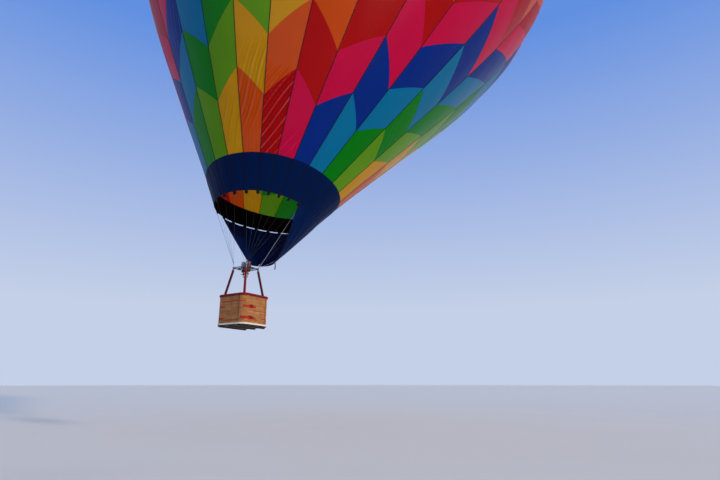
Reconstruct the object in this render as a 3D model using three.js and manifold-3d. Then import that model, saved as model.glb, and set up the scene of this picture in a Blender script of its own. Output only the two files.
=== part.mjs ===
// Hot air balloon: a leaning envelope over a basket with twin burners.
// Millimetres, +Z up. The origin is the centre of the envelope's widest circle.
// Basket sides lie along X and Y, and the envelope leans towards +Y.
import * as THREE from 'three';
import { mergeVertices } from 'three/addons/utils/BufferGeometryUtils.js';
import Module from 'manifold-3d';

const wasm = await Module();
wasm.setup();

// Driving dimensions
const DEG = Math.PI / 180;
const GAP = 0.3;
const LEAN = 17.65 * DEG;
const AXIS_OFFSET = { x: 146, y: 63 };
const GORES = 24;
const GORE_ANGLE = 2 * Math.PI / GORES;
const FIRST_TAPE = -123.75 * DEG;
const SKIN = 10;

// Envelope outline: distance along its axis from the load frame, and radius
const MOUTH = { station: 2160, radius: 1587 };
const EQUATOR = { station: 17750, radius: 10040 };
const MOUTH_SLOPE = 0.561;
const MOUTH_PULL = 1744;
const EQUATOR_PULL = 3864;
const CROWN_RISE = 7500;
const BAND_TOP = 3300;
const VENT_RADIUS = 2600;
const HEM_ARCH = 95;

// Gores bulge between their tapes by a share of their width: flat at the mouth, fuller with height
const BULGE = { share: 0.055, growth: 1.5, crownFade: 0.2 };

// The mouth hangs more level than the envelope leans: rings tip back, less and less, up to a station
const LEVELLING = { slope: Math.tan(7.3 * DEG), upTo: 15000, fade: 1.5 };
// The wires pull the mouth aside, and out and down towards two opposite corners
const PULL = { x: -173, y: 108, oval: 134, droop: 73, from: 385, upTo: 8000, fade: 1.5 };

// Gondola, with heights from the middle of the load frame
const FRAME_HALF = 290;
const FRAME_BAR = 34;
const FRAME_CORNER = 60;
const POST_AT = FRAME_HALF - 12;
const BASKET_HALF = 580;
const BASKET_CORNER = 200;
const WALL = 32;
const RIM_Z = -945;
const RIM_R = 42;
const RIM_SIDES = 8;
const BASKET_BOTTOM = -1868;
const UPRIGHT_FOOT = 425;
const UPRIGHT_R = 38;
const SOCKET_TOP = -925;

// Colours, roughness and metalness
const paint = (color, roughness = 0.7, metalness = 0) =>
  new THREE.MeshStandardMaterial({ color, roughness, metalness });
const RAINBOW = [0xc2244a, 0x1f2f78, 0x1a86ad, 0x1f8f4a, 0x8fbf2a, 0xf0b71c, 0xef7038, 0xd9262f]
  .map((color) => paint(color, 0.6));
const FIRST_COLOUR = 3;
const NAVY = paint(0x141a2c, 0.8);
const STEEL = paint(0x9aa0a6, 0.35, 0.9);
const DARK_METAL = paint(0x30343a, 0.5, 0.6);
const BRASS = paint(0xb5793f, 0.35, 0.9);
const CABLE = paint(0xb8bcc0, 0.4, 0.7);
const RED_PAD = paint(0x8c1d22, 0.8);
const WICKER = paint(0xb0703a, 0.85);
const HIDE = paint(0xd8cbb0, 0.8);
const PLYWOOD = paint(0xb98f5c, 0.7);
const HARDWOOD = paint(0x5a3b22, 0.8);
const ALLOY = paint(0xb9bdc1, 0.35, 0.8);
const WHITE_CLOTH = paint(0xe8e6df, 0.8);

// Scene groups
const balloon = new THREE.Group();
const gondola = new THREE.Group();
const envelope = new THREE.Group();
balloon.add(gondola, envelope);
const towardsCrown = new THREE.Vector3(0, Math.sin(LEAN), Math.cos(LEAN));
const axisFoot = new THREE.Vector3(AXIS_OFFSET.x, AXIS_OFFSET.y, 0);
const centre = axisFoot.clone().addScaledVector(towardsCrown, EQUATOR.station);
gondola.position.copy(centre).negate();
envelope.position.copy(axisFoot).sub(centre);
envelope.rotation.x = -LEAN;

// How far a value has come from one end towards the other, between 0 and 1
const share = (value, from, to) => Math.min(1, Math.max(0, (value - from) / (to - from)));

function add(parent, name, geometry, material) {
  const mesh = new THREE.Mesh(geometry, material);
  mesh.name = name;
  parent.add(mesh);
  return mesh;
}

// Closed solids from rings of points
function solidOf(points, faces) {
  const geometry = new THREE.BufferGeometry();
  geometry.setAttribute('position', new THREE.Float32BufferAttribute(points.flat(), 3));
  geometry.setIndex(faces.flat());
  return geometry;
}

function manifoldOf(geometry) {
  const bare = geometry.index ? geometry.clone() : mergeVertices(geometry);
  bare.deleteAttribute('normal');
  bare.deleteAttribute('uv');
  const merged = mergeVertices(bare, 1e-3);
  return new wasm.Manifold(new wasm.Mesh({
    numProp: 3,
    vertProperties: new Float32Array(merged.attributes.position.array),
    triVerts: new Uint32Array(merged.index.array),
  }));
}

function geometryOf(solid) {
  const mesh = solid.getMesh();
  const geometry = new THREE.BufferGeometry();
  geometry.setAttribute('position', new THREE.Float32BufferAttribute(mesh.vertProperties, 3));
  geometry.setIndex(Array.from(mesh.triVerts));
  return geometry;
}

function joined(pieces, cuts = []) {
  let solid = manifoldOf(pieces[0]);
  for (const piece of pieces.slice(1)) solid = solid.add(manifoldOf(piece));
  for (const cut of cuts) solid = solid.subtract(manifoldOf(cut));
  return geometryOf(solid);
}

const box = (w, d, h, x = 0, y = 0, z = 0) => new THREE.BoxGeometry(w, d, h).translate(x, y, z);

// Upright cylinder between two heights
function post(radius, z0, z1, x = 0, y = 0, sides = 12) {
  const geometry = new THREE.CylinderGeometry(radius, radius, z1 - z0, sides);
  return geometry.rotateX(Math.PI / 2).translate(x, y, (z0 + z1) / 2);
}

// Cylinder between two points
function rod(from, to, radius, sides = 6) {
  const along = to.clone().sub(from);
  const geometry = new THREE.CylinderGeometry(radius, radius, along.length(), sides);
  const up = new THREE.Vector3(0, 1, 0);
  geometry.applyQuaternion(new THREE.Quaternion().setFromUnitVectors(up, along.clone().normalize()));
  const middle = from.clone().add(to).multiplyScalar(0.5);
  return geometry.translate(middle.x, middle.y, middle.z);
}

// Slanted column with level ends
function slantedColumn(from, to, radius, sides = 10) {
  const points = [];
  const faces = [];
  for (const end of [from, to]) {
    for (let i = 0; i < sides; i++) {
      const turn = 2 * Math.PI * i / sides;
      points.push([end.x + radius * Math.cos(turn), end.y + radius * Math.sin(turn), end.z]);
    }
  }
  for (let i = 0; i < sides; i++) {
    const j = (i + 1) % sides;
    faces.push([i, i + sides, j], [j, i + sides, j + sides]);
    if (i > 0 && i < sides - 1) faces.push([0, i, i + 1], [sides, sides + i + 1, sides + i]);
  }
  return solidOf(points, faces);
}

// Square with round corners, as an outline centred on the origin
function roundedSquare(half, corner, kind = THREE.Shape) {
  const outline = new kind();
  const flat = half - corner;
  outline.moveTo(half, -flat);
  outline.absarc(flat, flat, corner, 0, Math.PI / 2);
  outline.absarc(-flat, flat, corner, Math.PI / 2, Math.PI);
  outline.absarc(-flat, -flat, corner, Math.PI, 1.5 * Math.PI);
  outline.absarc(flat, -flat, corner, 1.5 * Math.PI, 2 * Math.PI);
  return outline;
}

// An outline raised between two heights
function raised(outline, z0, z1) {
  const settings = { depth: z1 - z0, bevelEnabled: false, curveSegments: 5 };
  return new THREE.ExtrudeGeometry(outline, settings).translate(0, 0, z0);
}

// Upright wall around the basket, between two heights
function squareWall(half, corner, thickness, z0, z1) {
  const outline = roundedSquare(half, corner);
  outline.holes.push(roundedSquare(half - thickness, corner - thickness, THREE.Path));
  return raised(outline, z0, z1);
}

// Envelope outline at a station: a curve to the widest circle, then an ellipse to the crown
const lowerOutline = new THREE.CubicBezierCurve(
  new THREE.Vector2(MOUTH.station, MOUTH.radius),
  new THREE.Vector2(MOUTH.station + MOUTH_PULL, MOUTH.radius + MOUTH_SLOPE * MOUTH_PULL),
  new THREE.Vector2(EQUATOR.station - EQUATOR_PULL, EQUATOR.radius),
  new THREE.Vector2(EQUATOR.station, EQUATOR.radius),
);

function outlineAt(t) {
  if (t <= 1) return lowerOutline.getPoint(t);
  const turn = (t - 1) * Math.PI / 2;
  const station = EQUATOR.station + CROWN_RISE * Math.sin(turn);
  return new THREE.Vector2(station, EQUATOR.radius * Math.cos(turn));
}

function outwardAt(t) {
  const step = 1e-4;
  const tangent = outlineAt(Math.min(t + step, 2)).sub(outlineAt(Math.max(t - step, 0))).normalize();
  return new THREE.Vector2(-tangent.y, tangent.x);
}

// The lower outline's parameter where its station is the one asked for
function parameterAtStation(station) {
  let low = 0;
  let high = 1;
  for (let i = 0; i < 40; i++) {
    const middle = (low + high) / 2;
    if (outlineAt(middle).x < station) low = middle;
    else high = middle;
  }
  return low;
}

// The upper outline's parameter where its radius is the one asked for
const parameterAtRadius = (radius) => 1 + Math.acos(radius / EQUATOR.radius) / (Math.PI / 2);

const VENT_T = parameterAtRadius(VENT_RADIUS);
const BAND_T = parameterAtStation(BAND_TOP);

// How far the wires' pull shows at a station: in full at the mouth, fading both ways
function pullAt(station) {
  if (station < MOUTH.station) return share(station, PULL.from, MOUTH.station);
  return share(station, PULL.upTo, MOUTH.station) ** PULL.fade;
}

// Point round the axis, its ring tipped back near the mouth and pulled out of round
function ringPoint(radius, angle, station) {
  const tip = LEVELLING.slope * share(station, LEVELLING.upTo, MOUTH.station) ** LEVELLING.fade;
  const pull = pullAt(station);
  const aside = PULL.x * Math.cos(angle) + PULL.y * Math.sin(angle);
  const pulled = radius + pull * (aside + PULL.oval * Math.sin(2 * angle));
  const y = pulled * Math.sin(angle);
  return [pulled * Math.cos(angle), y, station + tip * y - pull * PULL.droop * Math.sin(2 * angle)];
}

// Point on the envelope: parameter along it, angle round it, and distance outwards
function skinPoint(t, angle, outwards) {
  const foot = outlineAt(t).addScaledVector(outwardAt(t), outwards);
  return ringPoint(foot.y, angle, foot.x);
}

// Shell patch between two skins, from a grid of columns (round) and rows (up)
function shellPatch(columns, rows, place) {
  const points = [];
  const faces = [];
  const at = (skin, c, r) => (skin * (columns + 1) + c) * (rows + 1) + r;
  for (const skin of [0, 1]) {
    for (let c = 0; c <= columns; c++) {
      for (let r = 0; r <= rows; r++) points.push(place(skin, c / columns, r / rows));
    }
  }
  const quad = (a, b, c, d) => faces.push([a, b, c], [a, c, d]);
  for (let c = 0; c < columns; c++) {
    for (let r = 0; r < rows; r++) {
      quad(at(0, c, r), at(0, c + 1, r), at(0, c + 1, r + 1), at(0, c, r + 1));
      quad(at(1, c, r), at(1, c, r + 1), at(1, c + 1, r + 1), at(1, c + 1, r));
    }
    quad(at(0, c, 0), at(1, c, 0), at(1, c + 1, 0), at(0, c + 1, 0));
    quad(at(0, c, rows), at(0, c + 1, rows), at(1, c + 1, rows), at(1, c, rows));
  }
  for (let r = 0; r < rows; r++) {
    quad(at(0, 0, r), at(0, 0, r + 1), at(1, 0, r + 1), at(1, 0, r));
    quad(at(0, columns, r), at(1, columns, r), at(1, columns, r + 1), at(0, columns, r + 1));
  }
  return solidOf(points, faces);
}

// Gores: strips that bulge between their tapes
const GORE_EDGE_GAP = 0.25;
const GORE_COLUMNS = 3;
const GORE_ROWS = 13;
const BAND_GAP_T = GAP / lowerOutline.getLength();

function bulgeAt(t, across) {
  const width = outlineAt(t).y * GORE_ANGLE;
  const swell = share(t, BAND_T, 1) ** BULGE.growth * share(t, VENT_T, VENT_T - BULGE.crownFade);
  return BULGE.share * width * swell * (1 - across * across);
}

function gore(index) {
  const middle = FIRST_TAPE + (index + 0.5) * GORE_ANGLE;
  const startT = BAND_T + BAND_GAP_T;
  return shellPatch(GORE_COLUMNS, GORE_ROWS, (skin, column, row) => {
    const t = startT + (VENT_T - startT) * row;
    const across = 2 * column - 1;
    const halfAngle = GORE_ANGLE / 2 - GORE_EDGE_GAP / outlineAt(t).y;
    const depth = bulgeAt(t, across) - skin * SKIN;
    return skinPoint(t, middle + across * halfAngle, depth);
  });
}

for (let i = 0; i < GORES; i++) {
  const name = `gore_${String(i + 1).padStart(2, '0')}`;
  add(envelope, name, gore(i), RAINBOW[(i + FIRST_COLOUR) % RAINBOW.length]);
}

// Mouth band with a scalloped hem
const BAND_COLUMNS = GORE_COLUMNS * GORES;
const BAND_ROWS = 2;
const HEM_T = parameterAtStation(MOUTH.station + HEM_ARCH);

function hemT(angle) {
  const phase = ((angle - FIRST_TAPE) / GORE_ANGLE) % 1;
  const across = 2 * phase - 1;
  return HEM_T * (1 - across * across);
}

function mouthBand() {
  const points = [];
  const faces = [];
  const at = (skin, c, r) => (skin * BAND_COLUMNS + c % BAND_COLUMNS) * (BAND_ROWS + 1) + r;
  const topT = BAND_T - BAND_GAP_T;
  for (const skin of [0, 1]) {
    for (let c = 0; c < BAND_COLUMNS; c++) {
      const angle = FIRST_TAPE + c * GORE_ANGLE / GORE_COLUMNS;
      for (let r = 0; r <= BAND_ROWS; r++) {
        const low = hemT(angle);
        points.push(skinPoint(low + (topT - low) * r / BAND_ROWS, angle, -skin * SKIN));
      }
    }
  }
  const quad = (a, b, c, d) => faces.push([a, b, c], [a, c, d]);
  for (let c = 0; c < BAND_COLUMNS; c++) {
    for (let r = 0; r < BAND_ROWS; r++) {
      quad(at(0, c, r), at(0, c + 1, r), at(0, c + 1, r + 1), at(0, c, r + 1));
      quad(at(1, c, r), at(1, c, r + 1), at(1, c + 1, r + 1), at(1, c + 1, r));
    }
    quad(at(0, c, 0), at(1, c, 0), at(1, c + 1, 0), at(0, c + 1, 0));
    quad(at(0, c, BAND_ROWS), at(0, c + 1, BAND_ROWS), at(1, c + 1, BAND_ROWS), at(1, c, BAND_ROWS));
  }
  return solidOf(points, faces);
}
add(envelope, 'mouth_band', mouthBand(), NAVY);

// Scoop: a curtain on the downwind side, hung outside the wires from the hem's tips
const SCOOP = {
  firstTape: 8, gores: 13, rows: 8, bottomStation: 385, bottomRadius: 695, bottomHalfAngle: 51.8 * DEG,
  bottomTurn: -2 * DEG, sag: 20, topStation: 2215, clearance: 9,
};

function scoop() {
  const columns = GORE_COLUMNS * SCOOP.gores;
  const topHalf = SCOOP.gores * GORE_ANGLE / 2;
  const middle = FIRST_TAPE + (SCOOP.firstTape + SCOOP.gores / 2) * GORE_ANGLE;
  const topRadius = outlineAt(parameterAtStation(SCOOP.topStation)).y + SKIN + SCOOP.clearance;
  return shellPatch(columns, SCOOP.rows, (skin, column, row) => {
    const across = 2 * column - 1;
    const phase = 2 * ((column * SCOOP.gores) % 1) - 1;
    const drop = SCOOP.sag * (1 - phase * phase) * row;
    const half = SCOOP.bottomHalfAngle + (topHalf - SCOOP.bottomHalfAngle) * row;
    const station = SCOOP.bottomStation + (SCOOP.topStation - SCOOP.bottomStation) * row - drop;
    const level = (station - SCOOP.bottomStation) / (SCOOP.topStation - SCOOP.bottomStation);
    const radius = SCOOP.bottomRadius + (topRadius - SCOOP.bottomRadius) * level;
    const angle = middle + across * half + SCOOP.bottomTurn * (1 - row);
    return ringPoint(radius - skin * SKIN, angle, station);
  });
}
add(envelope, 'scoop', scoop(), NAVY);

// Crown: a ring and the load tapes that cross the vent opening
const CROWN_RING = { radius: 120, tube: 12 };
const STRAP = { width: 50, thickness: 8, lap: 50, lift: 3, clearance: 1, widestShare: 0.8 };

function crownStrap(index) {
  const angle = FIRST_TAPE + index * GORE_ANGLE;
  const side = new THREE.Vector3(-Math.sin(angle), Math.cos(angle), 0);
  const outerT = parameterAtRadius(VENT_RADIUS + STRAP.lap);
  const innerT = parameterAtRadius(CROWN_RING.radius);
  return shellPatch(1, 3, (skin, column, row) => {
    const t = outerT + (innerT - outerT) * row;
    const lift = STRAP.clearance + STRAP.lift * (1 - row);
    const height = skin === 0 ? STRAP.thickness + lift : lift;
    const foot = new THREE.Vector3(...skinPoint(t, angle, height));
    const width = Math.min(STRAP.width, STRAP.widestShare * GORE_ANGLE * outlineAt(t).y);
    return foot.addScaledVector(side, (column - 0.5) * width).toArray();
  });
}

function crown() {
  const top = EQUATOR.station + CROWN_RISE;
  const ring = new THREE.TorusGeometry(CROWN_RING.radius, CROWN_RING.tube, 6, GORES);
  ring.rotateZ(FIRST_TAPE).translate(0, 0, top + STRAP.thickness / 2);
  const straps = Array.from({ length: GORES }, (_, i) => crownStrap(i));
  return joined([ring, ...straps]);
}
add(envelope, 'crown_ring', crown(), STEEL);

// Parachute vent: a dome that closes the crown opening from inside
const VENT = { radius: 2700, below: 30, rings: 6 };

function parachute() {
  const profile = [];
  const edgeT = parameterAtRadius(VENT.radius);
  for (const skin of [0, 1]) {
    for (let i = 0; i <= VENT.rings; i++) {
      const step = skin === 0 ? i : VENT.rings - i;
      const t = edgeT + (2 - edgeT) * step / VENT.rings;
      const foot = outlineAt(t).addScaledVector(outwardAt(t), -VENT.below - SKIN * (1 - skin));
      profile.push(new THREE.Vector2(step === VENT.rings ? 0 : foot.y, foot.x));
    }
  }
  profile.push(profile[0].clone());
  return new THREE.LatheGeometry(profile.reverse(), GORES).rotateX(Math.PI / 2);
}
add(envelope, 'parachute_vent', parachute(), WHITE_CLOTH);

// Gondola corners, in order round the frame
const CORNERS = [[-1, -1], [1, -1], [1, 1], [-1, 1]];

// Load frame with a karabiner lug and an upright stub at each corner
const LUG = { width: 50, thickness: 12, height: 62, sunk: 4, hole: 11, holeZ: 46 };
const STUB = { radius: 26, bottom: -75 };
const PIVOT = { radius: 9, innerRadius: 7.5, reach: 246, grip: 18, boreDepth: 30, boss: 16, clearance: 0.5 };

function loadFrame() {
  const half = FRAME_BAR / 2;
  const pieces = [squareWall(FRAME_HALF + half, FRAME_CORNER, FRAME_BAR, -half, half)];
  const cuts = [];
  for (const [sx, sy] of CORNERS) {
    const x = sx * POST_AT;
    const y = sy * POST_AT;
    const turn = Math.atan2(sy, sx);
    const lug = box(LUG.thickness, LUG.width, LUG.height, 0, 0, LUG.height / 2 + half - LUG.sunk);
    pieces.push(lug.rotateZ(turn).translate(x, y, 0));
    pieces.push(post(STUB.radius, STUB.bottom, 0, x, y, 12));
    const hole = new THREE.CylinderGeometry(LUG.hole, LUG.hole, LUG.width, 12).rotateZ(Math.PI / 2);
    cuts.push(hole.translate(0, 0, LUG.holeZ).rotateZ(turn).translate(x, y, 0));
  }
  for (const side of [-1, 1]) {
    const reach = FRAME_HALF - PIVOT.reach;
    const boss = new THREE.CylinderGeometry(PIVOT.boss, PIVOT.boss, reach, 12).rotateZ(Math.PI / 2);
    pieces.push(boss.translate(side * (PIVOT.reach + reach / 2), 0, 0));
    const loose = PIVOT.radius + PIVOT.clearance;
    const bore = new THREE.CylinderGeometry(loose, loose, 2 * PIVOT.boreDepth, 12).rotateZ(Math.PI / 2);
    cuts.push(bore.translate(side * PIVOT.reach, 0, 0));
  }
  return joined(pieces, cuts);
}
add(gondola, 'load_frame', loadFrame(), STEEL);

// Flying wires: six to each corner, gathered on a karabiner
const WIRE = { radius: 4, endGap: 2.8, perCorner: GORES / 4 };
const LINK = { radius: 26, tube: 5, stretch: 1.3, play: 2 };
const GATHER_RADIUS = 15;

function wireTop(tape) {
  const angle = FIRST_TAPE + tape * GORE_ANGLE;
  const foot = skinPoint(0, angle, -SKIN / 2);
  const top = new THREE.Vector3(...foot);
  return top.applyAxisAngle(new THREE.Vector3(1, 0, 0), -LEAN).add(axisFoot);
}

function wireGroup(corner) {
  const [sx, sy] = CORNERS[corner];
  const x = sx * POST_AT;
  const y = sy * POST_AT;
  const linkHeight = LINK.radius * LINK.stretch;
  const linkZ = LUG.holeZ + LUG.hole - LINK.play - LINK.tube * LINK.stretch + linkHeight;
  const link = new THREE.TorusGeometry(LINK.radius, LINK.tube, 6, 14);
  link.rotateZ(Math.PI / 2).rotateX(Math.PI / 2).scale(1, 1, LINK.stretch);
  link.rotateZ(Math.atan2(sy, sx)).translate(x, y, linkZ);
  const gather = new THREE.Vector3(x, y, linkZ + linkHeight);
  const knot = new THREE.OctahedronGeometry(GATHER_RADIUS, 1).translate(gather.x, gather.y, gather.z);
  const pieces = [link, knot];
  const firstTape = (corner - 0.5) * WIRE.perCorner;
  for (let i = 0; i < WIRE.perCorner; i++) {
    const top = wireTop(firstTape + i);
    const along = top.clone().sub(gather).normalize();
    pieces.push(rod(gather, top.addScaledVector(along, -WIRE.endGap), WIRE.radius));
  }
  return joined(pieces);
}
CORNERS.forEach((_, corner) => add(gondola, `flying_wires_${corner + 1}`, wireGroup(corner), CABLE));

// Gimbal ring: turns on the load frame about X
const GIMBAL = { halfX: 222, halfY: 152, bar: 16, height: 26 };

function gimbalRing() {
  const { halfX, halfY, bar, height } = GIMBAL;
  const pieces = [];
  for (const side of [-1, 1]) {
    pieces.push(box(bar, 2 * halfY, height, side * (halfX - bar / 2), 0, 0));
    pieces.push(box(2 * halfX, bar, height, 0, side * (halfY - bar / 2), 0));
    const length = PIVOT.reach + PIVOT.grip - halfX + bar / 2;
    const pin = new THREE.CylinderGeometry(PIVOT.radius, PIVOT.radius, length, 12).rotateZ(Math.PI / 2);
    pieces.push(pin.translate(side * (PIVOT.reach + PIVOT.grip - length / 2), 0, 0));
  }
  const loose = PIVOT.innerRadius + PIVOT.clearance;
  const bore = new THREE.CylinderGeometry(loose, loose, 2 * halfY + bar, 12);
  return joined(pieces, [bore]);
}
add(gondola, 'gimbal_ring', gimbalRing(), DARK_METAL);

// Burner block: carries both burners and turns in the gimbal ring about Y
const CAN = { radius: 92, spacing: 100, bottom: -62, top: 218, wall: 5 };
const BLOCK = { width: 300, depth: 96, height: 52, top: -64 };
const CHEEK = { width: 30, thickness: 12, at: 116, top: 17, bottom: -67 };
const ARM = { thickness: 14, from: 42, top: -65 };
const STEM = { radius: 20, length: 34, sunk: 4 };

function burnerBlock() {
  const { width, depth, height, top } = BLOCK;
  const pieces = [box(width, depth, height, 0, 0, top - height / 2)];
  for (const side of [-1, 1]) {
    const middle = (CHEEK.top + CHEEK.bottom) / 2;
    pieces.push(box(CHEEK.width, CHEEK.thickness, CHEEK.top - CHEEK.bottom, 0, side * CHEEK.at, middle));
    const armEnd = CHEEK.at + CHEEK.thickness / 2;
    const armY = side * (ARM.from + armEnd) / 2;
    pieces.push(box(CHEEK.width, armEnd - ARM.from, ARM.thickness, 0, armY, ARM.top - ARM.thickness / 2));
    const pinEnd = GIMBAL.halfY - GIMBAL.bar / 4;
    const pin = new THREE.CylinderGeometry(PIVOT.innerRadius, PIVOT.innerRadius, pinEnd - CHEEK.at, 12);
    pieces.push(pin.translate(0, side * (CHEEK.at + pinEnd) / 2, 0));
    const under = top - height;
    pieces.push(post(STEM.radius, under - STEM.length, under + STEM.sunk, side * CAN.spacing, 0));
  }
  return joined(pieces);
}
add(gondola, 'burner_block', burnerBlock(), DARK_METAL);

// Burners: open cans with a coil round them
const COIL = { turns: 6, tube: 8, first: -20, pitch: 34 };
const CAN_FLOOR = 40;

function burner(x) {
  const { radius, bottom, top, wall } = CAN;
  const skin = radius - COIL.tube;
  const outline = [[0, bottom], [0.8 * radius, bottom]];
  for (let i = 0; i < COIL.turns; i++) {
    const z = COIL.first + i * COIL.pitch;
    outline.push([skin, z - COIL.tube], [radius, z], [skin, z + COIL.tube]);
  }
  outline.push([skin + 2, top], [skin + 2 - wall, top], [skin - wall, bottom + CAN_FLOOR]);
  outline.push([0, bottom + CAN_FLOOR], [0, bottom]);
  const points = outline.map(([r, z]) => new THREE.Vector2(r, z));
  return new THREE.LatheGeometry(points, 16).rotateX(Math.PI / 2).translate(x, 0, 0);
}
add(gondola, 'burner_1', burner(-CAN.spacing), STEEL);
add(gondola, 'burner_2', burner(CAN.spacing), BRASS);

// Blast valves below the burner block, each with its lever
const VALVE = { width: 56, height: 60, inlet: 9, inletBottom: 90 };
const LEVER = { width: 20, length: 115, thickness: 12, aside: 10, below: 48 };

function blastValve(x) {
  const top = BLOCK.top - BLOCK.height - STEM.length - GAP;
  const leverX = x + Math.sign(x) * LEVER.aside;
  return joined([
    box(VALVE.width, VALVE.width, VALVE.height, x, 0, top - VALVE.height / 2),
    box(LEVER.width, LEVER.length, LEVER.thickness, leverX, -LEVER.length / 2, top - LEVER.below),
    post(VALVE.inlet, top - VALVE.inletBottom, top - VALVE.height + 10, x, 0, 8),
  ]);
}
add(gondola, 'blast_valve_1', blastValve(-CAN.spacing), BRASS);
add(gondola, 'blast_valve_2', blastValve(CAN.spacing), BRASS);

// Padded uprights between the basket's sockets and the load frame
CORNERS.forEach(([sx, sy], i) => {
  const foot = new THREE.Vector3(sx * UPRIGHT_FOOT, sy * UPRIGHT_FOOT, SOCKET_TOP + GAP);
  const head = new THREE.Vector3(sx * POST_AT, sy * POST_AT, STUB.bottom - GAP);
  add(gondola, `upright_${i + 1}`, slantedColumn(head, foot, UPRIGHT_R), RED_PAD);
});

// Basket: woven walls with step holes and a socket in each corner
const STEP = { width: 170, height: 100, across: -250, z: [-1290, -1620] };
const SOCKET = { radius: 43, bottom: -1055 };
const WEB = { length: 110, thickness: 22, height: 60, lift: 2, aside: 46 };

function basketWall() {
  const wallTop = RIM_Z - RIM_R * Math.cos(Math.PI / RIM_SIDES) - GAP;
  const pieces = [squareWall(BASKET_HALF, BASKET_CORNER, WALL, BASKET_BOTTOM, wallTop)];
  for (const [sx, sy] of CORNERS) {
    const x = sx * UPRIGHT_FOOT;
    const y = sy * UPRIGHT_FOOT;
    pieces.push(post(SOCKET.radius, SOCKET.bottom, SOCKET_TOP, x, y, 12));
    const webZ = SOCKET.bottom + WEB.lift + WEB.height / 2;
    const web = box(WEB.length, WEB.thickness, WEB.height, 0, 0, webZ).rotateZ(Math.atan2(sy, sx));
    pieces.push(web.translate(x + sx * WEB.aside, y + sy * WEB.aside, 0));
  }
  const cuts = [];
  for (const z of STEP.z) {
    for (const side of [-1, 1]) {
      cuts.push(box(4 * WALL, STEP.width, STEP.height, side * BASKET_HALF, STEP.across, z));
    }
  }
  return joined(pieces, cuts);
}
add(gondola, 'basket_wall', basketWall(), WICKER);

// Floor board, its runners and the hide band round the bottom edge
const FLOOR = { thickness: 18, inset: 2 };
const FLOOR_TOP = BASKET_BOTTOM - GAP;
const FLOOR_UNDERSIDE = FLOOR_TOP - FLOOR.thickness;
const RUNNER = { width: 75, length: 2 * BASKET_HALF - 30, height: 36, apart: 400 };
const HIDE_BAND = { proud: 7, height: 105 };

const floorOutline = roundedSquare(BASKET_HALF - FLOOR.inset, BASKET_CORNER - FLOOR.inset);
add(gondola, 'basket_floor', raised(floorOutline, FLOOR_UNDERSIDE, FLOOR_TOP), PLYWOOD);

function runner(x) {
  const { width, length, height } = RUNNER;
  return box(width, length, height, x, 0, FLOOR_UNDERSIDE - GAP - height / 2);
}
add(gondola, 'runner_left', runner(-RUNNER.apart), HARDWOOD);
add(gondola, 'runner_middle', runner(0), HARDWOOD);
add(gondola, 'runner_right', runner(RUNNER.apart), HARDWOOD);

function hideBand() {
  const { proud, height } = HIDE_BAND;
  const top = BASKET_BOTTOM + height;
  return squareWall(BASKET_HALF + proud, BASKET_CORNER + proud, proud - GAP, FLOOR_UNDERSIDE, top);
}
add(gondola, 'hide_band', hideBand(), HIDE);

// Padded rim: a roll along the top of the walls
class RimPath extends THREE.Curve {
  getPoint(t, target = new THREE.Vector3()) {
    const flat = BASKET_HALF - BASKET_CORNER;
    const corner = BASKET_CORNER - WALL / 2;
    const quarter = corner * Math.PI / 2;
    const side = 2 * flat + quarter;
    const walked = (t % 1) * 4 * side;
    const face = Math.floor(walked / side);
    const rest = walked - face * side;
    const turn = Math.max(0, rest - 2 * flat) / corner;
    const x = flat + corner * Math.cos(turn);
    const y = Math.min(rest, 2 * flat) - flat + corner * Math.sin(turn);
    return target.set(x, y, RIM_Z).applyAxisAngle(new THREE.Vector3(0, 0, 1), face * Math.PI / 2);
  }
}
const RIM_STEPS = 56;

function rimRoll() {
  const path = new RimPath();
  const sides = RIM_SIDES;
  const points = [];
  const faces = [];
  for (let i = 0; i < RIM_STEPS; i++) {
    const here = path.getPoint(i / RIM_STEPS);
    const ahead = path.getPoint(i / RIM_STEPS + 0.001);
    const behind = path.getPoint(i / RIM_STEPS + 0.999);
    const out = new THREE.Vector3(ahead.y - behind.y, behind.x - ahead.x, 0).normalize();
    for (let k = 0; k < sides; k++) {
      const turn = 2 * Math.PI * (k + 0.5) / sides;
      const point = here.clone().addScaledVector(out, RIM_R * Math.cos(turn));
      points.push([point.x, point.y, point.z + RIM_R * Math.sin(turn)]);
    }
  }
  for (let i = 0; i < RIM_STEPS; i++) {
    for (let k = 0; k < sides; k++) {
      const a = i * sides + k;
      const b = i * sides + (k + 1) % sides;
      const c = ((i + 1) % RIM_STEPS) * sides + (k + 1) % sides;
      const d = ((i + 1) % RIM_STEPS) * sides + k;
      faces.push([a, d, c], [a, c, b]);
    }
  }
  return solidOf(points, faces);
}
add(gondola, 'basket_rim', rimRoll(), RED_PAD);

// Fuel cylinders in the corners
const TANK = { radius: 125, at: 385, foot: 40, shoulder: 650, dome: 700, collar: 70, top: 765 };

function fuelCylinder(x, y) {
  const { radius, foot, shoulder, dome, collar, top } = TANK;
  const base = BASKET_BOTTOM;
  const outline = [
    [0, base], [0.8 * radius, base], [radius, base + foot], [radius, base + shoulder],
    [0.7 * radius, base + dome], [collar, base + dome + 5], [collar, base + top], [0, base + top],
  ];
  const points = outline.map(([r, z]) => new THREE.Vector2(r, z));
  points.push(points[0].clone());
  return new THREE.LatheGeometry(points, 16).rotateX(Math.PI / 2).translate(x, y, 0);
}
CORNERS.forEach(([sx, sy], i) => {
  add(gondola, `fuel_cylinder_${i + 1}`, fuelCylinder(sx * TANK.at, sy * TANK.at), ALLOY);
});

export default balloon;
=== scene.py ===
"""Looks of the hot air balloon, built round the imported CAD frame. Metres, +Z up."""

import math

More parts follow.
